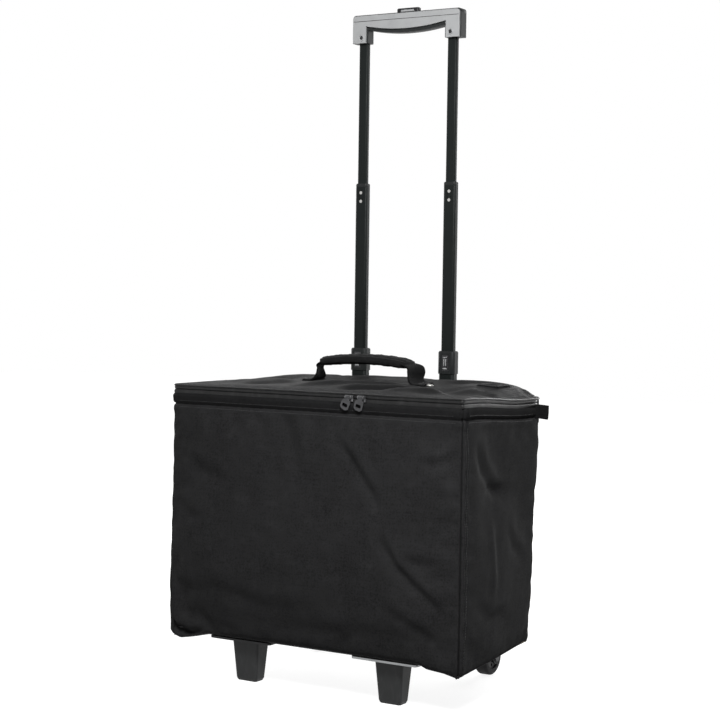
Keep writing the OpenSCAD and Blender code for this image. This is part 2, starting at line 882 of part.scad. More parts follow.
module foot_plate(side) {
    color([0.05, 0.05, 0.05]) difference() {
        from_front() translate([side * front_foot_x, front_foot_y, plate_z])
            linear_extrude(plate_t) rounded(plate_w, 2 * (front_foot_y - 4), 6);
        foot_screw_places() cylinder(h = 20, r = rivet_hole_r, center = true);
    }
}

// Screws up through the plates, the bottom panel and the base board
module foot_screws() {
    color([0.6, 0.6, 0.6]) foot_screw_places() translate([0, 0, -plate_t]) {
        translate([0, 0, -2]) cylinder(h = 2, r = 3.6);
        cylinder(h = plate_t + bottom_t + board_t, r = screw_r);
    }
}

// Places children at one wheel's middle
module at_wheel(side) {
    translate([side * wheel_x, y_front + wheel_y, wheel_r]) children();
}

// Side view of a housing's cheek, drawn about the axle
module cheek_outline() {
    top = base_z - wheel_r;
    circle(axle_r + 6);
    polygon([[-axle_y - 24, top - plate_t], [-axle_y - 24, top], [-axle_y, top],
        [-axle_y, top + 34], [-axle_y + 8, top + 34], [wheel_r * 0.75, top - 6],
        [axle_r + 6, 0], [-axle_r - 6, 0], [-axle_y - 8, top - plate_t]]);
}

// Moulded housing: two cheeks, a mudguard, a plate below and one behind the case
module wheel_housing(side) {
    inner = wheel_w / 2 + cheek_gap;
    outer = inner + cheek_t;
    top = base_z - wheel_r;
    guard_r = wheel_r + 2.5;
    color([0.09, 0.09, 0.09]) at_wheel(side) difference() {
        union() {
            for (end = [-1, 1])
                translate([end * (inner + cheek_t / 2) - cheek_t / 2, 0, 0])
                    rotate([90, 0, 90]) linear_extrude(cheek_t) cheek_outline();
            // mudguard over the wheel
            translate([-outer + 1, 0, 0]) rotate([90, 0, 90]) linear_extrude(2 * outer - 2)
                intersection() {
                    difference() {
                        circle(guard_r + 3);
                        circle(guard_r);
                    }
                    translate([-axle_y, 8]) square([axle_y + wheel_r - 1, wheel_r + 8]);
                }
            translate([-outer - 8, -axle_y - 40, top - plate_t])
                cube([2 * outer + 16, 36, plate_t]);
            translate([-outer - 8, -axle_y, top + 4]) cube([2 * outer + 16, 4, 44]);
        }
        x_cylinder(axle_r + 0.05, 4 * outer);
        // the case's lower back edge
        translate([-outer - 20, -axle_y - 60, top]) cube([2 * outer + 40, 60, 80]);
    }
}

module wheel_axles() {
    length = wheel_w + 2 * cheek_gap + 2 * cheek_t;
    color([0.7, 0.7, 0.7]) for (side = [left, right]) at_wheel(side) {
        x_cylinder(axle_r, length + 0.4);
        translate([side * (length / 2 + 1), 0, 0]) x_cylinder(axle_r + 2, 1.6);
    }
}

module hub(side) {
    color([0.3, 0.3, 0.3]) at_wheel(side) rotate([0, 90, 0]) difference() {
        union() {
            cylinder(h = wheel_w - 6, r = hub_r, center = true);
            cylinder(h = wheel_w + 1.6, r = axle_r + 4, center = true);
        }
        cylinder(h = wheel_w + 4, r = axle_r + bore_gap, center = true);
        for (i = [0:4]) rotate([0, 0, i * 72]) translate([12.2, 0, 0])
            cylinder(h = wheel_w, r = 2.6, center = true);
    }
}

module tyre(side) {
    shoulder = 4;
    color([0.12, 0.12, 0.12]) at_wheel(side) rotate([0, 90, 0]) rotate_extrude()
        translate([hub_r, -wheel_w / 2]) difference() {
            union() {
                square([wheel_r - hub_r - shoulder, wheel_w]);
                translate([0, shoulder]) square([wheel_r - hub_r, wheel_w - 2 * shoulder]);
                for (z = [shoulder, wheel_w - shoulder])
                    translate([wheel_r - hub_r - shoulder, z]) circle(shoulder, $fn = 32);
            }
            translate([-2 * shoulder, -1]) square([2 * shoulder, wheel_w + 2]);
        }
}

// ------------------------------------------------------------------ nodes

front_panel();
side_panel(left);  // left_panel
side_panel(right);  // right_panel
back_panel();
bottom_panel();
lining();
base_board();
back_board();
ball_cup(left);  // ball_cup_left
ball_cup(right);  // ball_cup_right
zip_lower_tape();
hinge_band();
zip_tabs();
upper_bracket();
lower_bracket();
bracket_screws();
outer_tube(left);  // outer_tube_left
outer_tube(right);  // outer_tube_right
outer_collar(left);  // outer_collar_left
outer_collar(right);  // outer_collar_right
lock_plates();
foot(left);  // foot_left
foot(right);  // foot_right
foot_plate(left);  // foot_plate_left
foot_plate(right);  // foot_plate_right
foot_screws();
wheel_housing(left);  // wheel_housing_left
wheel_housing(right);  // wheel_housing_right
wheel_axles();
lid_panel();
handle_plate();
lid_piping();
zip_upper_tape();
handle_strap();
handle_grip();
handle_rivets();
card_pocket();
zip_slider(left);  // zip_slider_left
zip_slider(right);  // zip_slider_right
zip_pull(left);  // zip_pull_left
zip_pull(right);  // zip_pull_right
middle_tube(left);  // middle_tube_left
middle_tube(right);  // middle_tube_right
middle_collars();
collar_rivets();
middle_plugs();
upper_tube(left);  // upper_tube_left
upper_tube(right);  // upper_tube_right
upper_plugs();
grip_core();
grip_shell(left);  // grip_front_shell
grip_shell(right);  // grip_rear_shell
grip_screws();
push_button();
push_rods();
button_spring();
tyre(left);  // tyre_left
tyre(right);  // tyre_right
hub(left);  // hub_left
hub(right);  // hub_right
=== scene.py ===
import math

import bmesh
import bpy
import numpy as np
from mathutils import Matrix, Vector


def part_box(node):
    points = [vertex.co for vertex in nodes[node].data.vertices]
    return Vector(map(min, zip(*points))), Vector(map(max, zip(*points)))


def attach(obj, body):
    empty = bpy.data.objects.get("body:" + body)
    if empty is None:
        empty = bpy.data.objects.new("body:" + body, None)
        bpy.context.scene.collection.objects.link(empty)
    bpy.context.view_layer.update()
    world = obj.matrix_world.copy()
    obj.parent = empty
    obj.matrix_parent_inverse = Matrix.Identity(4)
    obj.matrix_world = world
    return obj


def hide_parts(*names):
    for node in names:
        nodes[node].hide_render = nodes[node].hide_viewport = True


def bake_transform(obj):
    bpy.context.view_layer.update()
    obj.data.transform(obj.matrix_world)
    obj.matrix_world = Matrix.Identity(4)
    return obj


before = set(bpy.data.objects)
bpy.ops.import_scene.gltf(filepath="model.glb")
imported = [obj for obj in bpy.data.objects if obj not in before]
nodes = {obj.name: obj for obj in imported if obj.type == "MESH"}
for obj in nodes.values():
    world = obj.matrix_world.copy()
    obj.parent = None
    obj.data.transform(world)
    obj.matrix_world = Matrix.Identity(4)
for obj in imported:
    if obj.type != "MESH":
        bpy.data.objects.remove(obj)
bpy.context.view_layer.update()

MM = 0.001


# ------------------------------------------------------------------ camera

def placed(name, data):
    """A new object in the scene."""
    made = bpy.data.objects.new(name, data)
    bpy.context.scene.collection.objects.link(made)
    return made


def make_camera():
    """The photo's view, which was fitted to points of the case."""
    data = bpy.data.cameras.new("camera")
    data.sensor_width = 36
    data.lens = 84.8
    camera = placed("camera", data)
    camera.location = (1.2844, -2.1159, 0.5774)
    turned = (Matrix.Rotation(math.radians(31.405), 3, "Z")
              @ Matrix.Rotation(math.radians(87.432), 3, "X")
              @ Matrix.Rotation(math.radians(0.8), 3, "Z"))
    camera.rotation_euler = turned.to_euler()
    bpy.context.scene.camera = camera


make_camera()


# ---------------------------------------------------------- measures (mm)

def span(node):
    """The low and the high corner of a node's box."""
    low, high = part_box(node)
    return np.array(low) / MM, np.array(high) / MM


front_low, front_high = span("front_panel")
back_low, back_high = span("back_panel")
HALF_W = front_high[0]
FRONT = front_low[1]
BACK = back_high[1]
BASE = span("bottom_panel")[0][2]
SEAM = front_high[2]
BAND = SEAM - 15  # where the band of cloth under the zip begins
WALL = front_high[1] - front_low[1]
CORNER = back_high[1] - back_low[1]  # rounding of the back corners
FRONT_CORNER = 3.0
DEPTH = BACK - FRONT
pipe_low, pipe_high = span("lid_piping")
LID = (pipe_low[2] + pipe_high[2]) / 2
PIPE_R = (pipe_high[2] - pipe_low[2]) / 2
ZIP_END = span("zip_lower_tape")[1][1]


def smooth(value, start, end):
    """A step from 0 at start to 1 at end, level at both."""
    t = np.clip((value - start) / (end - start), 0, 1)
    return t * t * (3 - 2 * t)


def hump(value, middle, width):
    """A bell of height 1 round a middle."""
    return np.exp(-(((value - middle) / width) ** 2))


def ripple(u, v, seed, longest, shortest):
    """Smooth irregular waves from about -1 to 1, the same each run."""
    count = 14
    random = np.random.default_rng(seed)
    total = np.zeros(np.broadcast(u, v).shape)
    for _ in range(count):
        length = shortest * (longest / shortest) ** random.random()
        angle = random.random() * 2 * math.pi
        phase = random.random() * 2 * math.pi
        along = u * math.cos(angle) + v * math.sin(angle)
        total += np.sin(along * 2 * math.pi / length + phase)
    return total / math.sqrt(count) * 0.7


def crease(u, v, points, depth, width, lip=0.6):
    """A pressed line through the points with a raised lip beside it, fading at its ends."""
    points = np.array(points, float)
    lengths = np.linalg.norm(np.diff(points, axis=0), axis=1)
    before = np.concatenate([[0], np.cumsum(lengths)])
    nearest = np.full(np.shape(u), 1e9)
    side = np.zeros(np.shape(u))
    along = np.zeros(np.shape(u))
    for i, length in enumerate(lengths):
        du, dv = (points[i + 1] - points[i]) / length
        t = np.clip((u - points[i][0]) * du + (v - points[i][1]) * dv, 0, length)
        off_u, off_v = u - points[i][0] - t * du, v - points[i][1] - t * dv
        distance = np.hypot(off_u, off_v)
        closer = distance < nearest
        nearest = np.where(closer, distance, nearest)
        side = np.where(closer, off_v * du - off_u * dv, side)
        along = np.where(closer, before[i] + t, along)
    total = before[-1]
    fade = smooth(along, 0, total * 0.3) * smooth(total - along, 0, total * 0.3)
    signed = np.where(side < 0, -nearest, nearest)
    return depth * fade * (lip * hump(signed, 1.7 * width, 1.3 * width) - hump(nearest, 0, width))


def creases(u, v, lines):
    """Several creases, each as its points, depth and width; one below 0 stands out."""
    return sum(crease(u, v, *line) for line in lines)


# ------------------------------------------------------------- materials

class Look:
    """Builds a node material line by line around one Principled shader."""

    def __init__(self, name, **sockets):
        self.material = bpy.data.materials.new(name)
        self.material.use_nodes = True
        self.tree = self.material.node_tree
        self.shader = self.tree.nodes["Principled BSDF"]
        place = self.add("ShaderNodeTexCoord")
        self.place = place.outputs["Object"]
        self.facing = place.outputs["Normal"]
        for socket, value in sockets.items():
            self.shader.inputs[socket.replace("_", " ")].default_value = value

    def add(self, kind, *inputs, named=None, **settings):
        node = self.tree.nodes.new(kind)
        for key, value in settings.items():
            setattr(node, key, value)
        for i, value in enumerate(inputs):
            self.join(value, node.inputs[i])
        for key, value in (named or {}).items():
            self.join(value, node.inputs[key])
        return node

    def join(self, value, socket):
        if isinstance(value, bpy.types.NodeSocket):
            self.tree.links.new(value, socket)
        else:
            socket.default_value = value

    def math(self, operation, a, b):
        return self.add("ShaderNodeMath", a, b, operation=operation).outputs[0]

    def times(self, a, b):
        return self.math("MULTIPLY", a, b)

    def plus(self, a, b):
        return self.math("ADD", a, b)

    def axes(self, socket):
        return self.add("ShaderNodeSeparateXYZ", socket).outputs

    def noise(self, scale, detail, stretch=(1, 1, 1)):
        """Noise whose scale is features per metre along each axis."""
        sizes = [scale * share for share in stretch]
        point = self.add("ShaderNodeVectorMath", self.place, sizes, operation="MULTIPLY")
        made = self.add("ShaderNodeTexNoise", named={
            "Vector": point.outputs[0], "Scale": 1.0, "Detail": detail})
        return made.outputs["Fac"]

    def cloth_plane(self):
        """Coordinates in the plane that a surface faces, so that a weave needs no UV map."""
        size = self.add("ShaderNodeVectorMath", self.facing, operation="ABSOLUTE").outputs[0]
        sx, sy, sz = self.axes(size)
        x, y, z = self.axes(self.place)
        faces_x = self.math("GREATER_THAN", sx, self.math("MAXIMUM", sy, sz))
        faces_z = self.math("GREATER_THAN", sz, self.math("MAXIMUM", sx, sy))
        return self.mix(faces_x, x, y), self.mix(faces_z, z, y)

    def wave(self, value, pitch):
        return self.math("SINE", self.times(value, 2 * math.pi / (pitch * MM)), 0.0)

    def mix(self, factor, low, high, kind="FLOAT"):
        """Between two values, or with kind RGBA between two colours."""
        first, out = {"FLOAT": (2, 0), "RGBA": (6, 2)}[kind]
        node = self.add("ShaderNodeMix", data_type=kind)
        for place, value in ((0, factor), (first, low), (first + 1, high)):
            self.join((*value, 1) if isinstance(value, tuple) else value, node.inputs[place])
        return node.outputs[out]

    def scaled(self, value, low, high):
        return self.add("ShaderNodeMapRange", value, 0.0, 1.0, low, high).outputs[0]

    def bump(self, height, distance, strength):
        """Adds a bump of so many millimetres to those that are there already."""
        node = self.add("ShaderNodeBump", named={
            "Strength": strength, "Distance": distance * MM, "Height": height})
        normal = self.shader.inputs["Normal"]
        if normal.is_linked:
            self.join(normal.links[0].from_socket, node.inputs["Normal"])
        self.join(node.outputs[0], normal)

    def colour(self, socket):
        self.join(socket, self.shader.inputs["Base Color"])

    def rough(self, socket):
        self.join(socket, self.shader.inputs["Roughness"])


def shade(colour, factor, more=0.0):
    """A colour made lighter or darker."""
    return tuple(factor * c + more for c in colour)


def woven(name, dark, light, pitch, depth, sheen, rough, twill=0.0, worn=0.0, specular=0.05):
    """Woven cloth: over-and-under yarns, uneven yarn colour, soft blotches and rubbed patches."""
    look = Look(name, Sheen_Weight=sheen, Sheen_Roughness=0.45, Specular_IOR_Level=specular)
    u, v = look.cloth_plane()
    if twill:
        u = look.plus(u, look.times(v, twill))
    yarns = look.times(look.wave(u, pitch), look.wave(v, pitch))
    weft, warp = (look.noise(420, 2.0, along) for along in ((0.06, 0.06, 1), (1, 1, 0.06)))
    mixed = look.times(look.plus(weft, warp), 0.5)
    tone = look.times(yarns, 0.14)
    for part, share in ((mixed, 0.55), (look.noise(22, 5.0), 0.45), (look.noise(420, 4.0), 0.9)):
        tone = look.plus(tone, look.times(part, share))
    colour = look.mix(look.scaled(tone, -0.62, 0.62), dark, light, "RGBA")
    if worn:
        rubbed = look.times(look.math("POWER", look.noise(60, 6.0), 5.0), worn)
        colour = look.mix(rubbed, colour, shade(light, 3.2), "RGBA")
    look.colour(colour)
    look.rough(look.scaled(mixed, rough - 0.08, rough + 0.08))
    look.bump(yarns, depth, 0.6)
    look.bump(look.noise(260, 3.0), 0.25, 0.5)
    return look.material


def moulded(name, colour, rough, grain=0.05, specular=0.4, scuffs=0.3, fine=1400):
    """Moulded plastic: fine grain, slight mottling, and lighter, rougher scuffs."""
    look = Look(name, Specular_IOR_Level=specular)
    mottle = look.noise(35, 5.0)
    scuff = look.math("POWER", look.noise(140, 7.0, (1, 1, 0.35)), 6.0)
    scuff = look.times(scuff, 10 * scuffs)
    base = look.mix(mottle, shade(colour, 0.82), shade(colour, 1.18), "RGBA")
    look.colour(look.mix(scuff, base, shade(colour, 1.7, 0.01), "RGBA"))
    look.rough(look.plus(look.scaled(mottle, rough - 0.05, rough + 0.05),
                         look.times(scuff, 0.12)))
    look.bump(look.noise(fine, 3.0), grain, 0.5)
    return look.material


def metal(name, colour, rough, brushed=(1, 1, 1), coat=0.0, wear=0.25, metallic=1.0,
          specular=0.5):
    """Metal or anodised metal: brushed or tumbled grain, smudges, and dulled patches."""
    look = Look(name, Metallic=metallic, Coat_Weight=coat, Specular_IOR_Level=specular)
    hairs = look.noise(2600, 3.0, brushed)
    dull = look.times(look.math("POWER", look.noise(55, 5.0), 4.0), 6 * wear)
    tone = look.mix(hairs, shade(colour, 0.86), shade(colour, 1.12), "RGBA")
    look.colour(look.mix(dull, tone, shade(colour, 0.7), "RGBA"))
    look.rough(look.plus(look.scaled(hairs, rough - 0.06, rough + 0.06),
                         look.times(dull, 0.2)))
    look.bump(hairs, 0.02, 0.4)
    return look.material


def grey(value):
    """A nearly neutral colour, slightly cool."""
    return (value, value, value * 1.03)


looks = {
    "shell_fabric": woven("polyester_600d", grey(0.0072), grey(0.0297), 1.1, 0.07, 0.05, 0.80,
                          worn=0.3, specular=0.0),
    "base_fabric": woven("coated_base_cloth", grey(0.0116), grey(0.029), 1.4, 0.3, 0.05, 0.62,
                         worn=0.35),
    "lining_fabric": woven("nylon_lining", grey(0.029), grey(0.0493), 0.7, 0.12, 0.12, 0.55,
                           specular=0.4),
    "zip_tape": woven("zip_tape_weave", grey(0.0087), grey(0.0203), 0.9, 0.2, 0.04, 0.85,
                      twill=1.0),
    "webbing": woven("ribbed_webbing", grey(0.0043), grey(0.013), 1.8, 0.5, 0.03, 0.80,
                     twill=0.5, worn=0.2, specular=0.02),
    "grip_sleeve": woven("sleeve_cloth", grey(0.0051), grey(0.0174), 1.2, 0.3, 0.04, 0.72,
                         worn=0.4, specular=0.02),
    "piping": moulded("piping_vinyl", grey(0.0058), 0.40, 0.05, 0.22, 0.8, 700),
    "black_plastic": moulded("black_moulding", (0.0159, 0.0174, 0.0174), 0.50, 0.06, 0.12),
    "foot_plastic": moulded("foot_moulding", (0.0170, 0.0176, 0.0180), 0.50, 0.07, 0.22, 0.5),
    "gloss_black": moulded("gloss_moulding", (0.0087, 0.0087, 0.0094), 0.30, 0.01, 0.2),
    "natural_plastic": moulded("acetal", (0.60, 0.59, 0.55), 0.38, 0.02),
    "silver_plastic": metal("silver_paint", (0.33, 0.336, 0.34), 0.42, metallic=0.35, coat=0.1),
    "black_anodised": metal("anodised_tube", (0.0104, 0.0125, 0.012), 0.42, (1, 1, 0.02),
                            metallic=0.0, specular=0.07),
    "bright_steel": metal("nickel_steel", (0.42, 0.415, 0.40), 0.30, (1, 1, 0.2)),
    "grey_metal": metal("zinc_casting", (0.075, 0.075, 0.078), 0.36, wear=0.8),
    "tyre": moulded("tyre_rubber", (0.0174, 0.0174, 0.0181), 0.72, 0.12, 0.25, 0.9, 900),
    "hub_plastic": moulded("hub_moulding", (0.029, 0.0297, 0.0305), 0.5, 0.06, 0.3),
    "foam": moulded("cell_foam", (0.0508, 0.0522, 0.0551), 0.92, 0.6, 0.1, 0.2, 420),
    "board": moulded("pressed_board", (0.145, 0.1232, 0.0943), 0.85, 0.2, 0.15, fine=500),
}
thread = woven("sewing_thread", grey(0.0188), grey(0.0435), 0.5, 0.1, 0.2, 0.6)
coil_look = moulded("nylon_coil", grey(0.0145), 0.38, 0.02, 0.3)
# bright metal for the right foot plate alone, while the left keeps its dark moulding: a painted
# highlight for the light falling on the right plate
right_flange_painted_highlight = metal("right_flange_painted_highlight", (0.26, 0.265, 0.27), 0.34, (0.05, 1, 1), wear=0.7)
slider_zinc = metal("slider_zinc", (0.20, 0.20, 0.205), 0.30, wear=2.0)
dark_screw = metal("blackened_screw", (0.05, 0.05, 0.052), 0.38, wear=0.6)
# dark moulding for the grip's parting line: painted shade for its groove
seam_shadow = moulded("parting_line", grey(0.0174), 0.6, 0.02, 0.2)
# a darker cloth: on the shell it is painted shade under the lid's edge and in the seam slits; the
# card holder has it as its own colour
dark_cloth_and_painted_shade = woven("darker_cloth_and_painted_shade", grey(0.0058), grey(0.0195), 1.1, 0.07, 0.03, 0.85,
                  worn=0.15, specular=0.0)
# the wall cloth made darker for the lid: painted shade that holds down the top, which the lamps
# light more than the walls
lid_cloth_painted_shade = woven("lid_cloth", grey(0.0038), grey(0.0152), 1.1, 0.07, 0.04, 0.50, worn=0.3,
                 specular=0.012)
binding_look = woven("seam_binding", grey(0.0174), grey(0.0348), 0.8, 0.2, 0.06, 0.75, twill=1.0)


# --------------------------------------------------------------- geometry

def face_outwards(mesh):
    """Turns every face of a mesh to look out of it."""
    work = bmesh.new()
    work.from_mesh(mesh)
    bmesh.ops.recalc_face_normals(work, faces=work.faces)
    work.to_mesh(mesh)
    work.free()


def piece(name, shape, look, body, replaces=(), flat=False):
    """One object of the model, from a shape in millimetres, riding on a body, with a look given
    by its name in looks or as a material."""
    vertices, faces = shape
    mesh = bpy.data.meshes.new(name)
    mesh.from_pydata((np.asarray(vertices) * MM).tolist(), [], [tuple(f) for f in faces])
    mesh.materials.append(looks.get(look, look))
    mesh.polygons.foreach_set("use_smooth", [not flat] * len(mesh.polygons))
    face_outwards(mesh)
    made = placed(name, mesh)
    if body:
        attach(made, body)
    if replaces:
        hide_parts(*replaces)
    return made


class Parts:
    """Collects several meshes that become one object."""

    def __init__(self):
        self.vertices, self.faces, self.count = [], [], 0

    def add(self, vertices, faces):
        self.vertices.append(np.asarray(vertices, float))
        self.faces += [tuple(i + self.count for i in face) for face in faces]
        self.count += len(vertices)

    def all(self):
        return np.concatenate(self.vertices), self.faces


def grid_faces(nx, ny):
    """Faces of a grid whose points are numbered row by row."""
    return [(i * ny + j, (i + 1) * ny + j, (i + 1) * ny + j + 1, i * ny + j + 1)
            for i in range(nx - 1) for j in range(ny - 1)]


def grid_border(nx, ny):
    """Numbers of the points round the border of a grid."""
    ring = [i * ny for i in range(nx)] + [(nx - 1) * ny + j for j in range(1, ny)]
    return ring + [i * ny + ny - 1 for i in range(nx - 2, -1, -1)] + list(range(ny - 2, 0, -1))


def grid(xs, ys):
    """The x and the y of each point of a grid, numbered row by row."""
    return (values.ravel() for values in np.meshgrid(xs, ys, indexing="ij"))


def slab(top, under, nx, ny):
    """A closed plate between two grids of points."""
    count = nx * ny
    ring = grid_border(nx, ny)
    upper = grid_faces(nx, ny)
    faces = upper + [tuple(count + k for k in face[::-1]) for face in upper]
    faces += [(a, count + a, count + b, b) for a, b in zip(ring, ring[1:] + ring[:1])]
    return np.concatenate([top, under]), faces


def ring_faces(rings, sides, closed=False, caps=True):
    """Faces that join rings of points; an open row of rings gets a cap at each end."""
    faces = []
    for i in range(rings if closed else rings - 1):
        a, b = i * sides, (i + 1) % rings * sides
        faces += [(a + k, a + (k + 1) % sides, b + (k + 1) % sides, b + k) for k in range(sides)]
    if caps and not closed:
        faces += [tuple(range(sides - 1, -1, -1)),
                  tuple((rings - 1) * sides + k for k in range(sides))]
    return faces


def copies(faces, size, count):
    """The faces of one small mesh of so many points, for each of its copies."""
    return [tuple(i + size * n for i in face) for n in range(count) for face in faces]


def circle(count):
    """Cosines and sines of even turns."""
    turn = np.arange(count) * 2 * math.pi / count
    return np.cos(turn), np.sin(turn)


def between(places, known, rows):
    """Rows of three values, interpolated at places between the known ones."""
    return np.stack([np.interp(places, known, rows[:, k]) for k in range(3)], 1)


def unit(vectors):
    """The same directions with a length of 1."""
    return vectors / np.maximum(np.linalg.norm(vectors, axis=-1, keepdims=True), 1e-9)


def square_to(vectors, ahead):
    """Directions turned until they are square to the way ahead."""
    return unit(vectors - (vectors * ahead).sum(1, keepdims=True) * ahead)


def sweep(path, out, profile, closed=False):
    """A profile of (out, across) points carried along a path; out is one direction or one for
    each point of the path."""
    path = np.asarray(path, float)
    out = unit(np.broadcast_to(np.asarray(out, float), path.shape))
    ahead = np.gradient(path, axis=0)
    if closed:
        ahead = np.roll(path, -1, 0) - np.roll(path, 1, 0)
    across = unit(np.cross(out, unit(ahead)))
    profile = np.asarray(profile, float)
    if profile.ndim == 2:
        profile = np.repeat(profile[None], len(path), 0)
    rings = path[:, None] + profile[..., :1] * out[:, None] + profile[..., 1:] * across[:, None]
    return rings.reshape(-1, 3), ring_faces(len(path), profile.shape[1], closed)


def oval(a, b, sides=12, power=1.0):
    """Points of an ellipse, or of a rounded box where power is below 1."""
    c, s = circle(sides)
    return np.stack([a * np.sign(c) * abs(c) ** power, b * np.sign(s) * abs(s) ** power], 1)


def spaced(points, pitch):
    """Points at an even pitch along a line of points, with their directions."""
    points = np.asarray(points, float)
    steps = np.linalg.norm(np.diff(points, axis=0), axis=1)
    along = np.concatenate([[0], np.cumsum(steps)])
    even = between(np.arange(pitch / 2, along[-1], pitch), along, points)
    return even, unit(np.gradient(even, axis=0))


def stitches(parts, points, out, pitch=3.6, length=2.7, radius=0.38):
    """A row of sewn stitches: small spindles that lie along a line of points."""
    sides, lift = 6, 0.1
    even, ahead = spaced(points, pitch)
    out = unit(np.broadcast_to(np.asarray(out, float), even.shape))
    across = np.cross(ahead, out)
    c, s = circle(sides)
    ring = radius * (c[None, :, None] * out[:, None] + s[None, :, None] * across[:, None] * 1.2)
    middle = even + out * lift
    ends = length / 2 * ahead
    spindle = np.concatenate([
        (middle - ends - out * radius)[:, None], (middle - 0.5 * ends)[:, None] + ring,
        (middle + 0.5 * ends)[:, None] + ring, (middle + ends - out * radius)[:, None]], 1)
    one = []
    for k, after in zip(range(sides), [*range(1, sides), 0]):
        one += [(0, 1 + after, 1 + k), (1 + k, 1 + after, 1 + sides + after, 1 + sides + k),
                (1 + 2 * sides, 1 + sides + k, 1 + sides + after)]
    parts.add(spindle.reshape(-1, 3), copies(one, 2 + 2 * sides, len(even)))


# ------------------------------------------------ how the soft case hangs

def hang(points):
    """Moves points of any soft piece with the case's own slack: the back corners flare at the
    top and draw in at the foot, and the right side droops."""
    moved = np.array(points, float)
    x, y, z = moved.T
    height = (z - BASE) / (LID - BASE)
    right_back = smooth(x, 60, HALF_W) * smooth(y, FRONT + 90, BACK - 10)
    left_back = smooth(-x, 60, HALF_W) * smooth(y, FRONT + 90, BACK - 10)
    out = np.interp(height, [0, 0.35, 0.65, 1], [-7.5, -4, -1, 5])
    moved[:, 0] += right_back * 0.85 * out
    moved[:, 1] += right_back * 0.45 * out * smooth(x, 120, HALF_W)
    moved[:, 0] -= left_back * 0.6 * out
    droop = smooth(z, SEAM - 90, SEAM + 10) * (1 - 0.8 * smooth(z, LID + 2, LID + 11))
    low_right = smooth(x, 60, HALF_W) * smooth(y, FRONT + 20, BACK - 60)
    moved[:, 2] -= (9 * low_right + 2.5 * left_back) * droop
    edge = smooth(-x, 150, HALF_W) * smooth(y, BACK, FRONT)
    moved[:, 0] += edge * np.interp(height, [0, 0.25, 0.6, 1], [-2.5, -3, 0, 1.5])
    return moved


def outline(offset=0.0, end=None, step=5.0):
    """The case's outline seen from above, grown by offset, as points and outward directions:
    round the front from end to end, given as y of the sides, or all the way."""
    r, small = CORNER, FRONT_CORNER
    left, right = -HALF_W, HALF_W
    points, outs = [], []

    def line(a, b, out):
        a, b = np.array(a, float), np.array(b, float)
        count = max(2, int(np.linalg.norm(b - a) / step))
        points.extend(a + (b - a) * t for t in np.linspace(0, 1, count, endpoint=False))
        outs.extend([out] * count)

    def turn(centre, radius, first, count):
        for k in range(count):
            angle = math.radians(first + 90 * k / count)
            outs.append((math.cos(angle), math.sin(angle)))
            points.append(np.array(centre) + radius * np.array(outs[-1]))

    y_end = BACK - r if end is None else end
    line((left, y_end), (left, FRONT + small), (-1, 0))
    turn((left + small, FRONT + small), small, 180, 4)
    line((left + small, FRONT), (right - small, FRONT), (0, -1))
    turn((right - small, FRONT + small), small, 270, 4)
    line((right, FRONT + small), (right, y_end), (1, 0))
    if end is None:
        turn((right - r, BACK - r), r, 0, 10)
        line((right - r, BACK), (left + r, BACK), (0, 1))
        turn((left + r, BACK - r), r, 90, 10)
    else:
        points.append(np.array((right, y_end)))
        outs.append((1, 0))
    outs = np.array(outs, float)
    return np.array(points) + offset * outs, outs


def level(points, outs, z):
    """Lifts an outline to a height, as 3-D points and directions."""
    z = np.broadcast_to(z, len(points))
    return np.column_stack([points, z]), np.column_stack([outs, np.zeros(len(outs))])


# -------------------------------------------------------------- case shell

def steps(length, first, last, middle=5.0):
    """Distances from 0 to length, fine near each end where the seams and edges are."""
    first, last = np.array(first, float), np.array(last, float)
    room = length - first[-1] - last[-1]
    count = max(1, round(room / middle))
    inner = first[-1] + np.arange(1, count) * room / count
    return np.concatenate([first, inner, (length - last)[::-1]])


def box_grid(xs, ys, zs):
    """Walls and floor of an open box as one grid of quads, with shared edges."""
    nx, ny = len(xs), len(ys)
    ring = [(i, 0) for i in range(nx - 1)] + [(nx - 1, j) for j in range(ny - 1)]
    ring += [(i, ny - 1) for i in range(nx - 1, 0, -1)] + [(0, j) for j in range(ny - 1, 0, -1)]
    index = {place: k for k, place in enumerate(ring)}
    vertices = [(xs[i], ys[j], z) for z in zs for i, j in ring]
    for i in range(1, nx - 1):
        for j in range(1, ny - 1):
            index[i, j] = len(vertices)
            vertices.append((xs[i], ys[j], zs[0]))
    faces = ring_faces(len(zs), len(ring), caps=False)
    faces += [(index[i, j], index[i, j + 1], index[i + 1, j + 1], index[i + 1, j])
              for i in range(nx - 1) for j in range(ny - 1)]
    return np.array(vertices), faces


def round_pair(p, axis_a, past_a, axis_b, past_b):
    """Rounds one edge of a box: past_a and past_b say how far each point is beyond the edge's
    own core, and the pair is drawn in from a square corner to a quarter circle."""
    both = (past_a > 0) & (past_b > 0)
    reach = np.maximum(past_a, past_b)
    length = np.maximum(np.hypot(past_a, past_b), 1e-9)
    shrink = np.where(both, reach / length - 1, 0)
    p[:, axis_a[0]] += axis_a[1] * past_a * shrink
    p[:, axis_b[0]] += axis_b[1] * past_b * shrink


def rounded_box(p):
    """Rounded edges and corners of the case, on the sharp box's points."""
    side_foot, front_foot, back_foot = 9.0, 11.0, 6.0
    p = p.copy()

    def foot(radius):
        return (2, -1), BASE + radius - p[:, 2]

    def side_past(side, radius):
        return (0, side), side * p[:, 0] - HALF_W + radius

    for side in (-1, 1):
        round_pair(p, *side_past(side, side_foot), *foot(side_foot))
    round_pair(p, (1, -1), FRONT + front_foot - p[:, 1], *foot(front_foot))
    round_pair(p, (1, 1), p[:, 1] - BACK + back_foot, *foot(back_foot))
    for side in (-1, 1):
        round_pair(p, *side_past(side, CORNER), (1, 1), p[:, 1] - BACK + CORNER)
        round_pair(p, *side_past(side, FRONT_CORNER), (1, -1), FRONT + FRONT_CORNER - p[:, 1])
    return p


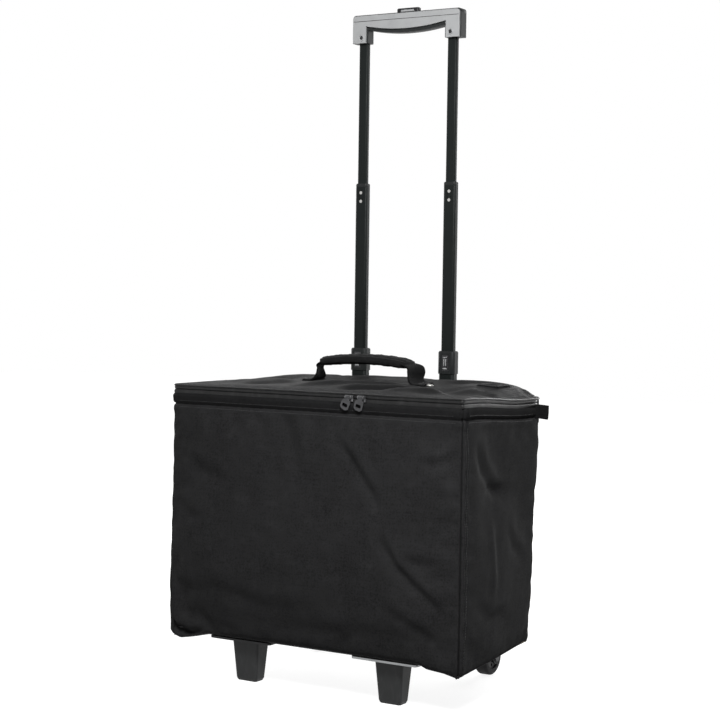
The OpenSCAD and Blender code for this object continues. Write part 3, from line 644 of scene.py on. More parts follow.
class SlackPanel:
    """One sewn panel run through Blender's cloth. A grid a little larger than its frame is sewn
    down along its border, held softly over its foam and pushed out from inside, and its settled
    height is then read back at any place."""

    def __init__(self, shape, u, v, larger, push, cap, pitch=6.0):
        self.u = np.linspace(*u, round((u[1] - u[0]) / pitch) + 1)
        self.v = np.linspace(*v, round((v[1] - v[0]) / pitch) + 1)
        gu, gv = np.meshgrid(self.u, self.v, indexing="ij")
        self.height = shape(gu, gv)
        settled = self.settle(gu, gv, larger, push)
        self.height += np.clip(settled - self.height, -cap, cap)

    def settle(self, gu, gv, larger, push):
        nu, nv = gu.shape
        points = np.column_stack([gu.ravel(), gv.ravel(), self.height.ravel()]) * MM
        mesh = bpy.data.meshes.new("panel")
        mesh.from_pydata(points.tolist(), [], grid_faces(nu, nv))
        panel = placed("panel", mesh)
        held = panel.vertex_groups.new(name="held")
        sewn, loose = 1.0, 0.02
        held.add(list(range(nu * nv)), loose, "REPLACE")
        held.add(grid_border(nu, nv), sewn, "REPLACE")
        cloth = panel.modifiers.new("cloth", "CLOTH")
        settings = cloth.settings
        settings.quality = 6
        settings.mass = 0.25
        settings.air_damping = 4
        settings.tension_stiffness = settings.compression_stiffness = 25
        settings.shear_stiffness = 12
        settings.bending_stiffness = 0.4
        settings.vertex_group_mass = "held"
        settings.pin_stiffness = 1.0
        settings.shrink_min = -larger
        settings.use_pressure = True
        settings.uniform_pressure_force = push
        settings.effector_weights.gravity = 0
        frames = 20
        cloth.point_cache.frame_start, cloth.point_cache.frame_end = 1, frames
        for step in range(1, frames + 1):
            bpy.context.scene.frame_set(step)
        shaped = panel.evaluated_get(bpy.context.evaluated_depsgraph_get()).data
        height = np.empty(3 * nu * nv)
        shaped.vertices.foreach_get("co", height)
        bpy.data.objects.remove(panel)
        bpy.data.meshes.remove(mesh)
        bpy.context.scene.frame_set(1)
        return height.reshape(nu, nv, 3)[:, :, 2] / MM

    def __call__(self, u, v):
        at_u = np.clip((u - self.u[0]) / (self.u[1] - self.u[0]), 0, len(self.u) - 1.001)
        at_v = np.clip((v - self.v[0]) / (self.v[1] - self.v[0]), 0, len(self.v) - 1.001)
        i, j = at_u.astype(int), at_v.astype(int)
        a, b = at_u - i, at_v - j
        h = self.height
        return ((h[i, j] * (1 - b) + h[i, j + 1] * b) * (1 - a)
                + (h[i + 1, j] * (1 - b) + h[i + 1, j + 1] * b) * a)


def front_shape(x, z):
    """How far the front panel stands out of its plane: slack cloth over a stiffened panel."""
    inside = HALF_W - abs(x)
    room = smooth(inside, 0, 40) * smooth(BAND - z, 0, 26) * smooth(z, BASE, BASE + 60)
    tuck = 5.5 * smooth(z, BASE, BASE + 120) + 4.5 * smooth(z, BASE, BASE + 62)
    full = (4.0 * hump(x, -20, 190) * hump(z, 190, 110)
            + tuck * smooth(inside, 0, 100) * smooth(BAND - z, 0, 220))
    slack = 2.3 * ripple(x, z, 3, 260, 90) + 1.1 * ripple(x, z, 5, 70, 30)
    return room * (full + slack + creases(x, z, [
        ([(38, 372), (66, 345), (108, 292), (126, 262)], 6.0, 6),
        ([(112, 250), (150, 196), (196, 158), (226, 128)], 6.4, 6),
        ([(-239, 268), (-200, 240), (-168, 232)], 4.8, 9),
        ([(238, 352), (205, 338), (176, 336)], 3.8, 7),
        ([(150, 216), (176, 204), (214, 206)], 3.2, 7),
        ([(-40, 388), (-20, 340), (-5, 300)], 2.4, 9),
        ([(-225, 330), (-170, 300), (-120, 292)], 3.0, 10),
        ([(-235, 120), (-150, 138), (-60, 118), (40, 128)], 3.0, 12),
        ([(-60, 96), (40, 92), (140, 104)], 2.8, 10),
        ([(120, 150), (170, 118), (215, 98)], 3.2, 8)]))


def front_relief(x, z):
    """The front panel's cloth, with the puckers that its right seam pulls into it."""
    puckers = sum(depth * hump(x, HALF_W - 12, 26) * hump(z, height, 5.5) for height, depth in (
        (372, -1.2), (338, -1.8), (312, 1.0), (296, -2.2), (262, -1.4), (231, -2.0), (214, 1.0),
        (188, -1.6), (150, -1.3)))
    return front_cloth(x, z) + puckers * smooth(HALF_W - abs(x), 0, 9)


def right_shape(s, z):
    """How far the right panel stands out: hollow and creased."""
    return (-5.5 * hump(s, 105, 62) * hump(z, 330, 52) + 2.5 * hump(s, 90, 70) * hump(z, 170, 90)
            + 1.5 * ripple(s, z, 11, 200, 80) + 0.3 * ripple(s, z, 12, 60, 24)
            + creases(s, z, [([(30, 378), (56, 330), (92, 296), (150, 302)], 4.0, 9),
                             ([(40, 282), (84, 302), (120, 288), (170, 300)], 2.2, 8),
                             ([(78, 268), (84, 225), (86, 180), (84, 138)], -2.8, 8),
                             ([(128, 250), (150, 215), (196, 190)], 2.0, 9),
                             ([(30, 150), (80, 122), (140, 128)], 1.8, 9)]))


def left_shape(s, z):
    """How far the left panel stands out: fuller, with shallower creases."""
    return (2.5 * hump(s, 110, 80) * hump(z, 210, 110)
            + 1.5 * ripple(s, z, 21, 200, 80) + 0.3 * ripple(s, z, 22, 60, 24)
            + creases(s, z, [([(24, 330), (80, 282), (150, 260)], 3.0, 9),
                             ([(40, 160), (100, 190), (170, 176)], 2.4, 9),
                             ([(150, 350), (140, 290), (150, 230)], -2.4, 9),
                             ([(30, 110), (90, 128), (160, 112)], 2.0, 9)]))


def side_room(s, z):
    """Where a side panel is free to move, away from its seams."""
    return (smooth(s, 0, 26) * smooth(DEPTH - CORNER * 0.3 - s, 0, 40)
            * smooth(BAND - z, 0, 24) * smooth(z, BASE, BASE + 50))


front_cloth = SlackPanel(front_shape, (-HALF_W, HALF_W), (BASE, BAND), 0.015, 1.5, 6)
side_cloths = {
    side: SlackPanel(lambda s, z, shape=shape: side_room(s, z) * shape(s, z),
                     (0, DEPTH), (BASE, BAND), 0.007, 0.6, 3.5)
    for side, shape in ((-1, left_shape), (1, right_shape))}


def side_relief(y, z, side):
    return side_cloths[side](y - FRONT, z)


def back_relief(x, z):
    """The back lies on its board, so only small slack waves show beside the brackets."""
    room = smooth(HALF_W - abs(x), 20, 60) * smooth(BAND - z, 0, 30) * smooth(z, BASE, BASE + 40)
    for bracket in ("upper_bracket", "lower_bracket"):
        height = span(bracket)[0][2] + 13
        room = room * (1 - hump(z, height, 30) * smooth(110 - abs(x), 0, 15))
    return room * (0.9 * ripple(x, z, 31, 180, 60) + 0.4 * ripple(x, z, 32, 60, 26) - 0.6)


def seam_profile(s):
    """Felled seam on a side panel beside a front corner: a slit, a raised welt and a sewn line."""
    return 2.2 * hump(s, 4.9, 2.2) - 1.3 * hump(s, 9.8, 1.4) + 0.6 * hump(s, 14, 3.5)


def droop(x, y):
    """How far the lower edge hangs below its plane, and how it is held up over the foot plates."""
    s = y - FRONT
    front = np.interp(x, [-240, -224, -200, -176, 176, 188, 214, 234, 240],
                      [-7, -12, -7, 0, 0, -5, -7.5, -12, -11])
    right = np.interp(s, [0, 10, 40, 70, 130, 200, 245], [-11, -11, -9, -7, -3.5, -0.5, 0])
    left = np.interp(s, [0, 20, 60, 130, 245], [-8, -10, -5, -2, 0])
    return front * hump(s, 0, 24), right * hump(x, HALF_W, 24), left * hump(x, -HALF_W, 24)


def thicken(made, name, thickness):
    """Gives a sheet its thickness, inwards from its outer face."""
    wall = made.modifiers.new(name, "SOLIDIFY")
    wall.thickness = thickness * MM
    wall.offset = -1
    return wall


def soft_case(p0):
    """The case's fabric from the sharp box: rounded, filled, creased and hanging."""
    x, y, z = p0.T
    p = rounded_box(p0)
    on_front = hump(y, FRONT, 9)
    on_back = hump(y, BACK, 9)
    on_right = hump(x, HALF_W, 9)
    on_left = hump(x, -HALF_W, 9)
    p[:, 1] -= on_front * front_relief(x, z)
    p[:, 1] += on_back * back_relief(x, z)
    p[:, 0] += on_right * side_relief(y, z, 1)
    p[:, 0] -= on_left * side_relief(y, z, -1)
    s = y - FRONT
    wander = 1 + 0.22 * ripple(z, 0 * z, 41, 60, 18)
    p[:, 0] += (on_right - on_left) * seam_profile(s) * wander * (s > 0)
    slit = hump(s + HALF_W - abs(x), 0, 1.7) * (2.6 + 1.6 * smooth(-z, -BASE - 70, -BASE - 12))
    p[:, 0] -= np.sign(x) * slit
    p[:, 1] += slit
    # the upper edge turns in under the zip band, with a dimple at each stitch pull
    out = np.stack([on_right - on_left, on_back - on_front], 1)
    pinch = (2.2 * hump(z, BAND - 0.8, 1.5) * (1 + 0.3 * np.sin(x + s))
             + 1.1 * hump(SEAM - z, 0, 1.8))
    swell = (1.0 * hump(z, BAND - 8, 4.5) + 0.9 * smooth(z, BAND - 0.6, BAND + 0.8)
             + 0.6 * hump(z, BAND + 8, 5) + 0.35 * hump(z, SEAM - 4, 1.6))
    band_slack = 0.35 * ripple(x + s, z, 43, 90, 22) * smooth(z, BAND, BAND + 6)
    p[:, :2] += out * (swell - pinch + band_slack)[:, None]
    # the lower edge hangs, with a fold at its left end
    low = np.minimum.reduce(droop(x, y))
    p[:, 2] += low * hump(z, BASE, 30)
    fold = (crease(x, z, [(-238, 92), (-228, 79), (-206, 72), (-176, 73)], 8.0, 5)
            - crease(x, z, [(-234, 80), (-222, 69), (-200, 64)], 5.0, 4))
    p[:, 1] -= on_front * fold
    # the floor hangs a little between the feet and the wheels
    inside = smooth(HALF_W - abs(x), 4, 60) * smooth(np.minimum(y - FRONT, BACK - y), 4, 50)
    floor = (z < BASE + 0.1) * inside
    plates = sum(hump(x, side * 120, 62) * hump(y, FRONT + 34, 42) for side in (-1, 1))
    wheels = sum(hump(x, side * 148, 34) * hump(y, BACK - 22, 34) for side in (-1, 1))
    sag = (2.2 + 0.8 * ripple(x, y, 51, 160, 60)) * np.clip(1 - plates - wheels, 0, 1)
    p[:, 2] -= floor * np.maximum(sag, 0)
    return hang(p)


def make_shell():
    """The cloth of the walls and the floor as one skin over the case's panels."""
    edge = [0, 0.8, 1.6, 2.5, 3.6, 4.8, 6.2, 8, 9.6, 11.4, 14, 17.5]
    back_edge = [0, 4, 8, 12, 16, 20, 25, 30]
    xs = -HALF_W + steps(2 * HALF_W, edge, edge, 4.4)
    ys = FRONT + steps(DEPTH, edge, back_edge, 4.4)
    zs = BASE + steps(SEAM - BASE, [0, 1.5, 3.2, 5, 7, 9, 11.5, 15],
                      [0, 0.7, 1.6, 2.8, 4.2, 6, 8.5, 11, 13.5, 15.3, 16.6, 17.5, 18.3,
                       19.2, 20.4, 22, 24.5, 28], 4.4)
    sharp, faces = box_grid(xs, ys, zs)
    shell = piece("case_shell", (soft_case(sharp), faces), "shell_fabric", "case",
                  ["front_panel", "left_panel", "right_panel", "back_panel", "bottom_panel"])
    thicken(shell, "wall", WALL - 1.2).material_offset_rim = 0
    for look in (looks["lining_fabric"], looks["base_fabric"], dark_cloth_and_painted_shade):
        shell.data.materials.append(look)
    # the floor is of base cloth; the band under the zip and the seam slits get a darker cloth,
    # painted shade under the lid's edge and in the slits
    x, y, z = sharp[np.array(faces)].transpose(2, 0, 1)
    seam = (HALF_W - abs(x) + y - FRONT).mean(1)
    # faces in painted shade: the band under the zip and the slit along each front corner
    dark = (z.min(1) > BAND - 0.9) | (seam < 1.7)
    index = np.where(z.max(1) < BASE + 0.01, 2, np.where(dark, 3, 0))
    shell.data.polygons.foreach_set("material_index", index.astype(np.int32))


make_shell()


def make_lining():
    """A thin skin inside the shell, drawn in from each wall and in front of the boards."""
    low, high = span("lining")
    edge = [0, 3, 7, 12, 18]
    xs = -HALF_W + steps(2 * HALF_W, edge, edge, 9)
    ys = FRONT + steps(DEPTH, edge, [0, 6, 12, 18, 24, 30], 9)
    zs = BASE + steps(SEAM - 1 - BASE, [0, 3, 7, 12], [0, 4, 9], 9)
    sharp, faces = box_grid(xs, ys, zs)
    x, y, _ = sharp.T
    points = soft_case(sharp)
    points[:, 0] -= (hump(x, HALF_W, 9) - hump(x, -HALF_W, 9)) * (HALF_W - high[0] + 0.3)
    points[:, 1] += hump(y, FRONT, 9) * (low[1] - FRONT + 0.3)
    points[:, 1] -= hump(y, BACK, 9) * (BACK - high[1] + 1.3)
    points[:, 2] = np.maximum(points[:, 2], low[2] + 0.3)
    made = piece("case_lining", (points, faces), "lining_fabric", "case", ["lining"])
    thicken(made, "skin", 0.7)


make_lining()


# ------------------------------------------------------------ sewn lines

def make_seams():
    """Sewn lines beside the front corners and along the band under the zip."""
    sewn = Parts()
    zs = np.arange(BASE + 14, BAND - 5, 6.0)
    ys = np.arange(FRONT + 16, ZIP_END - 8, 6.0)
    xs = np.arange(-HALF_W + 12, HALF_W - 11, 6.0)
    heights = (BAND + 4.2, BAND - 5.0)

    def sew(places, out):
        stitches(sewn, soft_case(np.array(places, float)), out)

    for side in (-1, 1):
        for inset in (7.0, 12.2):
            sew([(side * HALF_W, FRONT + inset, z) for z in zs], (side, 0, 0))
        for height in heights:
            sew([(side * HALF_W, y, height) for y in ys], (side, 0, 0))
    for height in heights:
        sew([(x, FRONT, height) for x in xs], (0, -1, 0))
        sew([(x, BACK, height) for x in xs[abs(xs) < HALF_W - CORNER]], (0, 1, 0))
    piece("case_stitching", sewn.all(), thread, "case")


make_seams()


# --------------------------------------------------------------- ball cups

def make_cup(name, node):
    """Foam block with a round seat: rings from the block's outline in to the seat's middle."""
    low, high = span(node)
    middle = (low + high) / 2
    half = (high - low) / 2
    height = high[2] - low[2]
    sides, seat, ball = 96, 80.0, 109.0
    c, s = circle(sides)
    shrink = 1 / np.maximum(abs(c) / half[0], abs(s) / half[1])
    square = np.stack([c * shrink, s * shrink], 1)
    soft_corner = 0.5 * (1 + np.tanh((np.hypot(*square.T) - 0.86 * np.hypot(*half[:2])) / 14))
    square *= (1 - 0.085 * soft_corner)[:, None]
    disc = np.stack([c, s], 1)
    rim = math.sqrt(ball ** 2 - seat ** 2)
    floor = height - (ball - rim) - 2
    rings = [(square * 0.985, 0), (square, 3), (square, height - 7),
             (square * 0.992, height - 2.5), (square * 0.975, height)]
    rings += [(square * 0.975 * (1 - t) + disc * (seat + 6) * t, height) for t in (0.35, 0.7, 0.9)]
    rings += [(disc * (seat + 4), height - 0.6), (disc * (seat + 1.5), height - 3)]
    for t in (0.95, 0.85, 0.7, 0.5, 0.3, 0.12):
        drop = math.sqrt(ball ** 2 - (seat * t) ** 2) - rim
        rings.append((disc * seat * t, max(height - 4 - drop, floor)))
    points = np.concatenate([np.column_stack([ring, np.full(sides, z)]) for ring, z in rings])
    points[:, 2] += 0.5 * ripple(points[:, 0], points[:, 1], 61, 90, 30) * (points[:, 2] > 10)
    points += (middle[0], middle[1], low[2])
    cup = piece(name, (points, ring_faces(len(rings), sides)), "foam", "case", [node])


make_cup("foam_cup_left", "ball_cup_left")
make_cup("foam_cup_right", "ball_cup_right")


# ---------------------------------------------------------------- zip band

def ribbon(name, z_low, z_high, inset, thickness, body, look, end, replaces=(), wavy=0.0,
           bulge=0.0):
    """A strip that stands on edge round the case, from z_low to z_high."""
    path, outs = level(*outline(-inset, end), (z_low + z_high) / 2)
    half = (z_high - z_low) / 2
    count = 7
    up = np.linspace(-half, half, count)
    swell = bulge * (1 - (up / half) ** 2)
    rim = np.column_stack([np.append(thickness / 2 + swell, np.full(count, -thickness / 2)),
                           np.append(up, up[::-1])])
    profile = np.repeat(rim[None], len(path), 0)
    if wavy:
        along = np.arange(len(path)) * 5.0
        profile[:, :, 1] += (wavy * ripple(along, 0 * along, 71, 90, 26))[:, None]
        uneven = 1 + 0.8 * ripple(along, 0 * along, int(z_low), 70, 14)
        profile[:, :count, 0] += 0.5 * swell * uneven[:, None]
    points, faces = sweep(path, outs, profile)
    piece(name, (hang(points), faces), look, body, replaces)


def zip_coil(name, z_low, z_high, body, end, shift):
    """One half of the zip's coil: a small nylon tooth every 1.5 mm."""
    path, outs = level(*outline(-2.0, end, step=3.0), (z_low + z_high) / 2)
    even, ahead = spaced(path, 1.5)
    even += shift * ahead
    out = unit(between(np.linspace(0, 1, len(even)), np.linspace(0, 1, len(outs)), outs))
    out = square_to(out, ahead)
    sides = 6
    c, s = circle(sides)
    ring = 0.34 * c[None, :, None] * ahead[:, None] + 0.9 * s[None, :, None] * out[:, None]
    half = (z_high - z_low) / 2
    layers = ((-1, 0.5), (-0.55, 1), (0.55, 1), (1, 0.5))
    points = np.concatenate([even[:, None] + size * ring + np.array([0, 0, height * half])
                             for height, size in layers], 1).reshape(-1, 3)
    tooth = ring_faces(len(layers), sides)
    faces = copies(tooth, sides * len(layers), len(even))
    piece(name, (hang(points), faces), coil_look, body, flat=True)


def make_zip():
    """Two tapes, two rows of coil between them, and the film that covers the coil."""
    low_tape, high_tape = span("zip_lower_tape")[1], span("zip_upper_tape")[0]
    low_end, high_end = ZIP_END, ZIP_END - 0.6
    low_edge, high_edge = low_tape[2], high_tape[2]
    slit = (low_edge + high_edge) / 2
    ribbon("zip_tape_lower", SEAM - 1, low_edge - 1.6, 2.0, 0.6, "case", "zip_tape", low_end,
           ["zip_lower_tape"])
    ribbon("zip_tape_upper", high_edge + 1.6, span("zip_upper_tape")[1][2], 2.0, 0.6, "lid",
           "zip_tape", high_end, ["zip_upper_tape"])
    zip_coil("zip_coil_lower", low_edge - 2.4, slit + 0.7, "case", low_end, 0.0)
    zip_coil("zip_coil_upper", slit - 0.7, high_edge + 2.4, "lid", high_end, 0.75)
    film = {"wavy": 0.10, "bulge": 0.75}
    ribbon("zip_film_lower", SEAM - 0.8, slit - 0.25, 0.75, 0.5, "case", "piping", low_end,
           **film)
    ribbon("zip_film_upper", slit + 0.25, LID - PIPE_R + 0.5, 0.75, 0.5, "lid", "piping",
           high_end, **film)


make_zip()


def make_hinge():
    """Cloth band at the back that joins the case to the lid."""
    rows = np.linspace(SEAM - 1, LID - PIPE_R + 0.4, 8)
    path, outs = outline(-1.2)
    keep = path[:, 1] > ZIP_END - 0.5
    path, outs = path[keep], outs[keep]
    bulge = 0.9 * np.sin(math.pi * (rows - rows[0]) / (rows[-1] - rows[0]))
    outer = np.array([np.column_stack([path + outs * out, np.full(len(path), z)])
                      for out, z in zip(bulge, rows)])
    outer[:, :, 2] += 0.25 * ripple(outer[:, :, 0], outer[:, :, 1], 73, 80, 24)
    inner = outer.copy()
    inner[:, :, :2] -= outs * 1.4
    points, faces = slab(outer.reshape(-1, 3), inner.reshape(-1, 3), len(rows), len(path))
    made = piece("hinge_cover", (hang(points), faces), "shell_fabric", None, ["hinge_band"])
    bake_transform(made)


make_hinge()


def make_tab(side, name, replaces):
    """A folded webbing tab at one end of the zip: two layers and the fold at its tip."""
    low, high = span("zip_tabs")
    _, y_mid, z_mid = (low + high) / 2
    reach = high[0] - HALF_W + 5
    layer = 1.5
    half = [(-3, 0.55), (2, 0.6), (reach * 0.5, 0.62), (reach - 2.4, 0.8), (reach - 0.7, 0.45)]
    path = np.array([(side * (HALF_W + a), y_mid + b * layer, z_mid)
                     for a, b in half + [(a, -b) for a, b in half[::-1]]])
    out = unit(np.cross(np.gradient(path, axis=0), (0, 0, 1)))
    points, faces = sweep(path, out, oval(layer / 2, (high[2] - low[2]) / 2, 16, 0.35))
    away = np.maximum((abs(points[:, 0]) - HALF_W) / reach, 0)
    points[:, 2] -= 1.2 * away ** 2
    points[:, 1] += 0.5 * np.sin(points[:, 2] * 0.4) * away
    points[:, :2] = hang(points)[:, :2]
    piece(name, (points, faces), "webbing", "case", replaces)


make_tab(-1, "zip_end_tab_left", [])
make_tab(1, "zip_end_tab_right", ["zip_tabs"])


# --------------------------------------------------------------------- lid

def lid_fold(x, s):
    """Folds of the lid cloth: it is held up by the handle's rivets and slack between them."""
    edge = np.minimum(np.minimum(HALF_W - abs(x), s), DEPTH - s)
    folds = creases(x, s, [
        ([(-70, 20), (0, 60), (70, 112), (120, 130)], -6.5, 11, 0.8),
        ([(20, 14), (70, 46), (130, 100)], 6.0, 12),
        ([(96, 18), (140, 50), (190, 66)], -4.4, 11),
        ([(120, 14), (160, 60), (196, 150)], -3.0, 13),
        ([(-200, 40), (-150, 90), (-104, 140)], -2.6, 14),
        ([(-150, 22), (-110, 70), (-92, 120)], 2.4, 12),
        ([(-215, 150), (-170, 176), (-120, 168)], 2.2, 12),
        ([(110, 178), (160, 200), (215, 190)], 2.2, 11),
        ([(-60, 196), (0, 206), (70, 200)], 1.6, 11)])
    slack = 1.0 * ripple(x, s, 81, 220, 90) + 0.4 * ripple(x, s, 82, 70, 30)
    handle = hump(x, 0, 120) * hump(s, 150, 34)
    dip = 1.4 * hump(x, 0, 48) * hump(s, 150, 40)
    return smooth(edge, 2, 34) * ((1.4 * folds + slack) * (1 - 0.75 * handle) - dip)


lid_cloth = SlackPanel(lid_fold, (-HALF_W, HALF_W), (0, DEPTH), 0.012, 0.4, 1.4)


def lid_height(x, y):
    """Height of the lid's upper face over a place in the sharp outline."""
    edge = np.minimum(np.minimum(HALF_W - abs(x), y - FRONT), BACK - y)
    ends = np.interp(x, [-240, -225, -195, -150, -112, -84, 0, 140, 165, 185, 205, 222, 234, 240],
                     [0, 0.16, 0.40, 0.72, 0.95, 1, 1, 1, 0.97, 0.88, 0.74, 0.52, 0.26, 0])
    s = y - FRONT
    middle = np.interp(s, [0, 10, 30, 60, 100, 130, 150, 170, 202, 222, 238, 245],
                       [0, 2.0, 2.6, 3.0, 3.4, 3.7, 4.2, 5.6, 10.6, 10.0, 4.8, 0])
    right_end = np.interp(s, [0, 10, 40, 84, 130, 160, 190, 222, 238, 245],
                          [0, 1.0, 0.3, -0.6, 5.6, 8.8, 10.4, 10.0, 5.0, 0])
    dome = middle + (right_end - middle) * smooth(x, 120, 175)
    puff = 1.6 * hump(x, 15, 70) * hump(s, 60, 45) + 1.2 * hump(x, -150, 60) * hump(s, 110, 60)
    return LID + 0.8 + ends * (dome + puff) + lid_cloth(x, s) * smooth(edge, 0, 20)


def lid_surface(x, y, inset=1.6):
    """Places on the lid for points of its sharp outline: rounded corners and a drawn-in edge."""
    flat = np.column_stack([x, y, 0 * x])
    height = lid_height(x, y)
    for side in (-1, 1):
        round_pair(flat, (0, side), side * flat[:, 0] - HALF_W + CORNER,
                   (1, 1), flat[:, 1] - BACK + CORNER)
    flat[:, 0] *= (HALF_W - inset) / HALF_W
    flat[:, 1] += inset * np.clip((BACK - 30 - flat[:, 1]) / 90, -1, 1) * smooth(
        abs(flat[:, 1] + 20), 60, 120)
    flat[:, 2] = height
    return flat


def make_lid():
    """The lid's cloth over its foam, thick in the middle and thin at the sewn edge."""
    edge = [0, 1.0, 2.2, 3.8, 6, 9]
    xs = -HALF_W + steps(2 * HALF_W, edge, edge, 5)
    ys = FRONT + steps(DEPTH, edge, edge, 5)
    points = lid_surface(*grid(xs, ys))
    faces = grid_faces(len(xs), len(ys))
    ring = grid_border(len(xs), len(ys))
    first, count = len(points), len(ring)
    faces += [(ring[(k + 1) % count], ring[k], first + k, first + (k + 1) % count)
              for k in range(count)]
    points = np.concatenate([points, points[ring] - (0, 0, 1.8)])
    cover = piece("lid_cover", (hang(points), faces), lid_cloth_painted_shade, "lid", ["lid_panel"])
    thick = thicken(cover, "wall", 5.0)
    full = cover.vertex_groups.new(name="full")
    for n, (x, y, _) in enumerate(points):
        edge = min(HALF_W - abs(x), y - FRONT, BACK - y)
        full.add([n], float(smooth(edge, 4, 26)), "REPLACE")
    thick.vertex_group = "full"
    thick.thickness_vertex_group = 0.35
    cover.data.materials.append(looks["lining_fabric"])
    thick.material_offset = 1


make_lid()


def make_handle_plate():
    """The plate between the lid's layers, giving way where the cloth over it dips."""
    low, high = span("handle_plate")
    nx, ny = 46, 10
    x, y = grid(np.linspace(low[0], high[0], nx), np.linspace(low[1], high[1], ny))
    top = np.minimum(high[2], lid_height(x, y) - 1.2)
    points, faces = slab(np.column_stack([x, y, top]),
                         np.column_stack([x, y, top - (high[2] - low[2])]), nx, ny)
    piece("carry_plate", (hang(points), faces), "board", "lid", ["handle_plate"])


make_handle_plate()


def make_piping():
    """Vinyl piping round the lid, slightly uneven, with the flange that it is sewn in by."""
    path, outs = level(*outline(0.0, step=4.0), LID)
    along = np.arange(len(path)) * 4.0
    size = 1 + 0.05 * ripple(along, 0 * along, 91, 60, 14)
    profile = oval(PIPE_R, PIPE_R, 14)[None] * size[:, None, None]
    path[:, 2] += 0.35 * ripple(along, 0 * along, 92, 120, 40)
    points, faces = sweep(path, outs, profile, closed=True)
    piece("lid_piping_cord", (hang(points), faces), "piping", "lid", ["lid_piping"])
    path, outs = level(*outline(-2.2, step=4.0), LID + 0.8)
    points, faces = sweep(path, outs, oval(1.7, 1.1, 10, 0.6), closed=True)
    piece("lid_piping_flange", (hang(points), faces), binding_look, "lid")


make_piping()


def frame_line(low, high, inset, count):
    """Points along the four sides of a rectangle, drawn in from its corners."""
    x0, y0, x1, y1 = low[0] + inset, low[1] + inset, high[0] - inset, high[1] - inset
    corners = [(x0, y0), (x1, y0), (x1, y1), (x0, y1), (x0, y0)]
    return np.concatenate([np.linspace(a, b, count + 1)[:-1]
                           for a, b in zip(corners, corners[1:])])


def lifted(row, height):
    """A row of places on the lid, at a height over its cloth."""
    return np.column_stack([row, lid_height(*row.T) + height])


def make_lid_seams():
    """Sewn lines round the lid and the card pocket, and over the feet of the handle."""
    sewn = Parts()
    up = (0, 0, 1)
    line = frame_line((-HALF_W, FRONT), (HALF_W, BACK), 6.5, 59)
    stitches(sewn, hang(lid_surface(*line.T)), up)
    low, high = span("card_pocket")
    for inset in (1.6, 4.4):
        stitches(sewn, hang(lifted(frame_line(low, high, inset, 8), 1.9)), up, 3.0, 2.2, 0.32)
    low, high = span("handle_strap")
    y0, y1 = low[1] + 3, high[1] - 3
    for side in (-1, 1):
        # a box with a cross through it holds each end of the webbing
        a, b, c, d = (np.array((side * (high[0] - off), y)) for off, y in
                      ((1.5, y0), (11.5, y0), (11.5, y1), (1.5, y1)))
        for ends in ((a, b), (b, c), (c, d), (d, a), (a, c), (d, b)):
            stitches(sewn, lifted(np.linspace(*ends, 8), 3.0), up, 2.8, 2.1, 0.34)
    piece("lid_stitching", sewn.all(), thread, "lid")


make_lid_seams()


def make_card_holder():
    """Sewn pocket for a name card: a cloth patch with a bound window."""
    low, high = span("card_pocket")
    x0, x1, y0, y1 = low[0], high[0], low[1], high[1]
    count, lift, bevel, rim = 14, 1.0, 2.0, 3.0
    x, y = grid(np.linspace(x0, x1, count), np.linspace(y0, y1, count))
    edge = np.minimum(np.minimum(x - x0, x1 - x), np.minimum(y - y0, y1 - y))
    z = lid_height(x, y) + lift * np.clip(edge / bevel, 0, 1) ** 0.5
    top = np.column_stack([x, y, z])
    points, faces = slab(top, top - (0, 0, lift + 1.0), count, count)
    piece("card_holder", (hang(points), faces), dark_cloth_and_painted_shade, "lid", ["card_pocket"])
    binding = Parts()
    for inner, width in ((0, 1.9), (9.5, 1.1)):
        loop = frame_line(low, high, rim, 10)
        loop[:, 0] = np.clip(loop[:, 0], x0 + rim + inner * 0.5, x1 - rim - inner * 0.5)
        loop[:, 1] = np.clip(loop[:, 1], y0 + rim + inner, y1 - rim - inner)
        loop = lifted(loop, 1.5)
        loop = loop[np.linalg.norm(loop - np.roll(loop, 1, 0), axis=1) > 0.3]
        points, faces = sweep(loop, (0, 0, 1), oval(0.9, width, 10, 0.7), closed=True)
        binding.add(hang(points), faces)
    piece("card_holder_binding", binding.all(), binding_look, "lid")


make_card_holder()


# ------------------------------------------------------------ carry handle

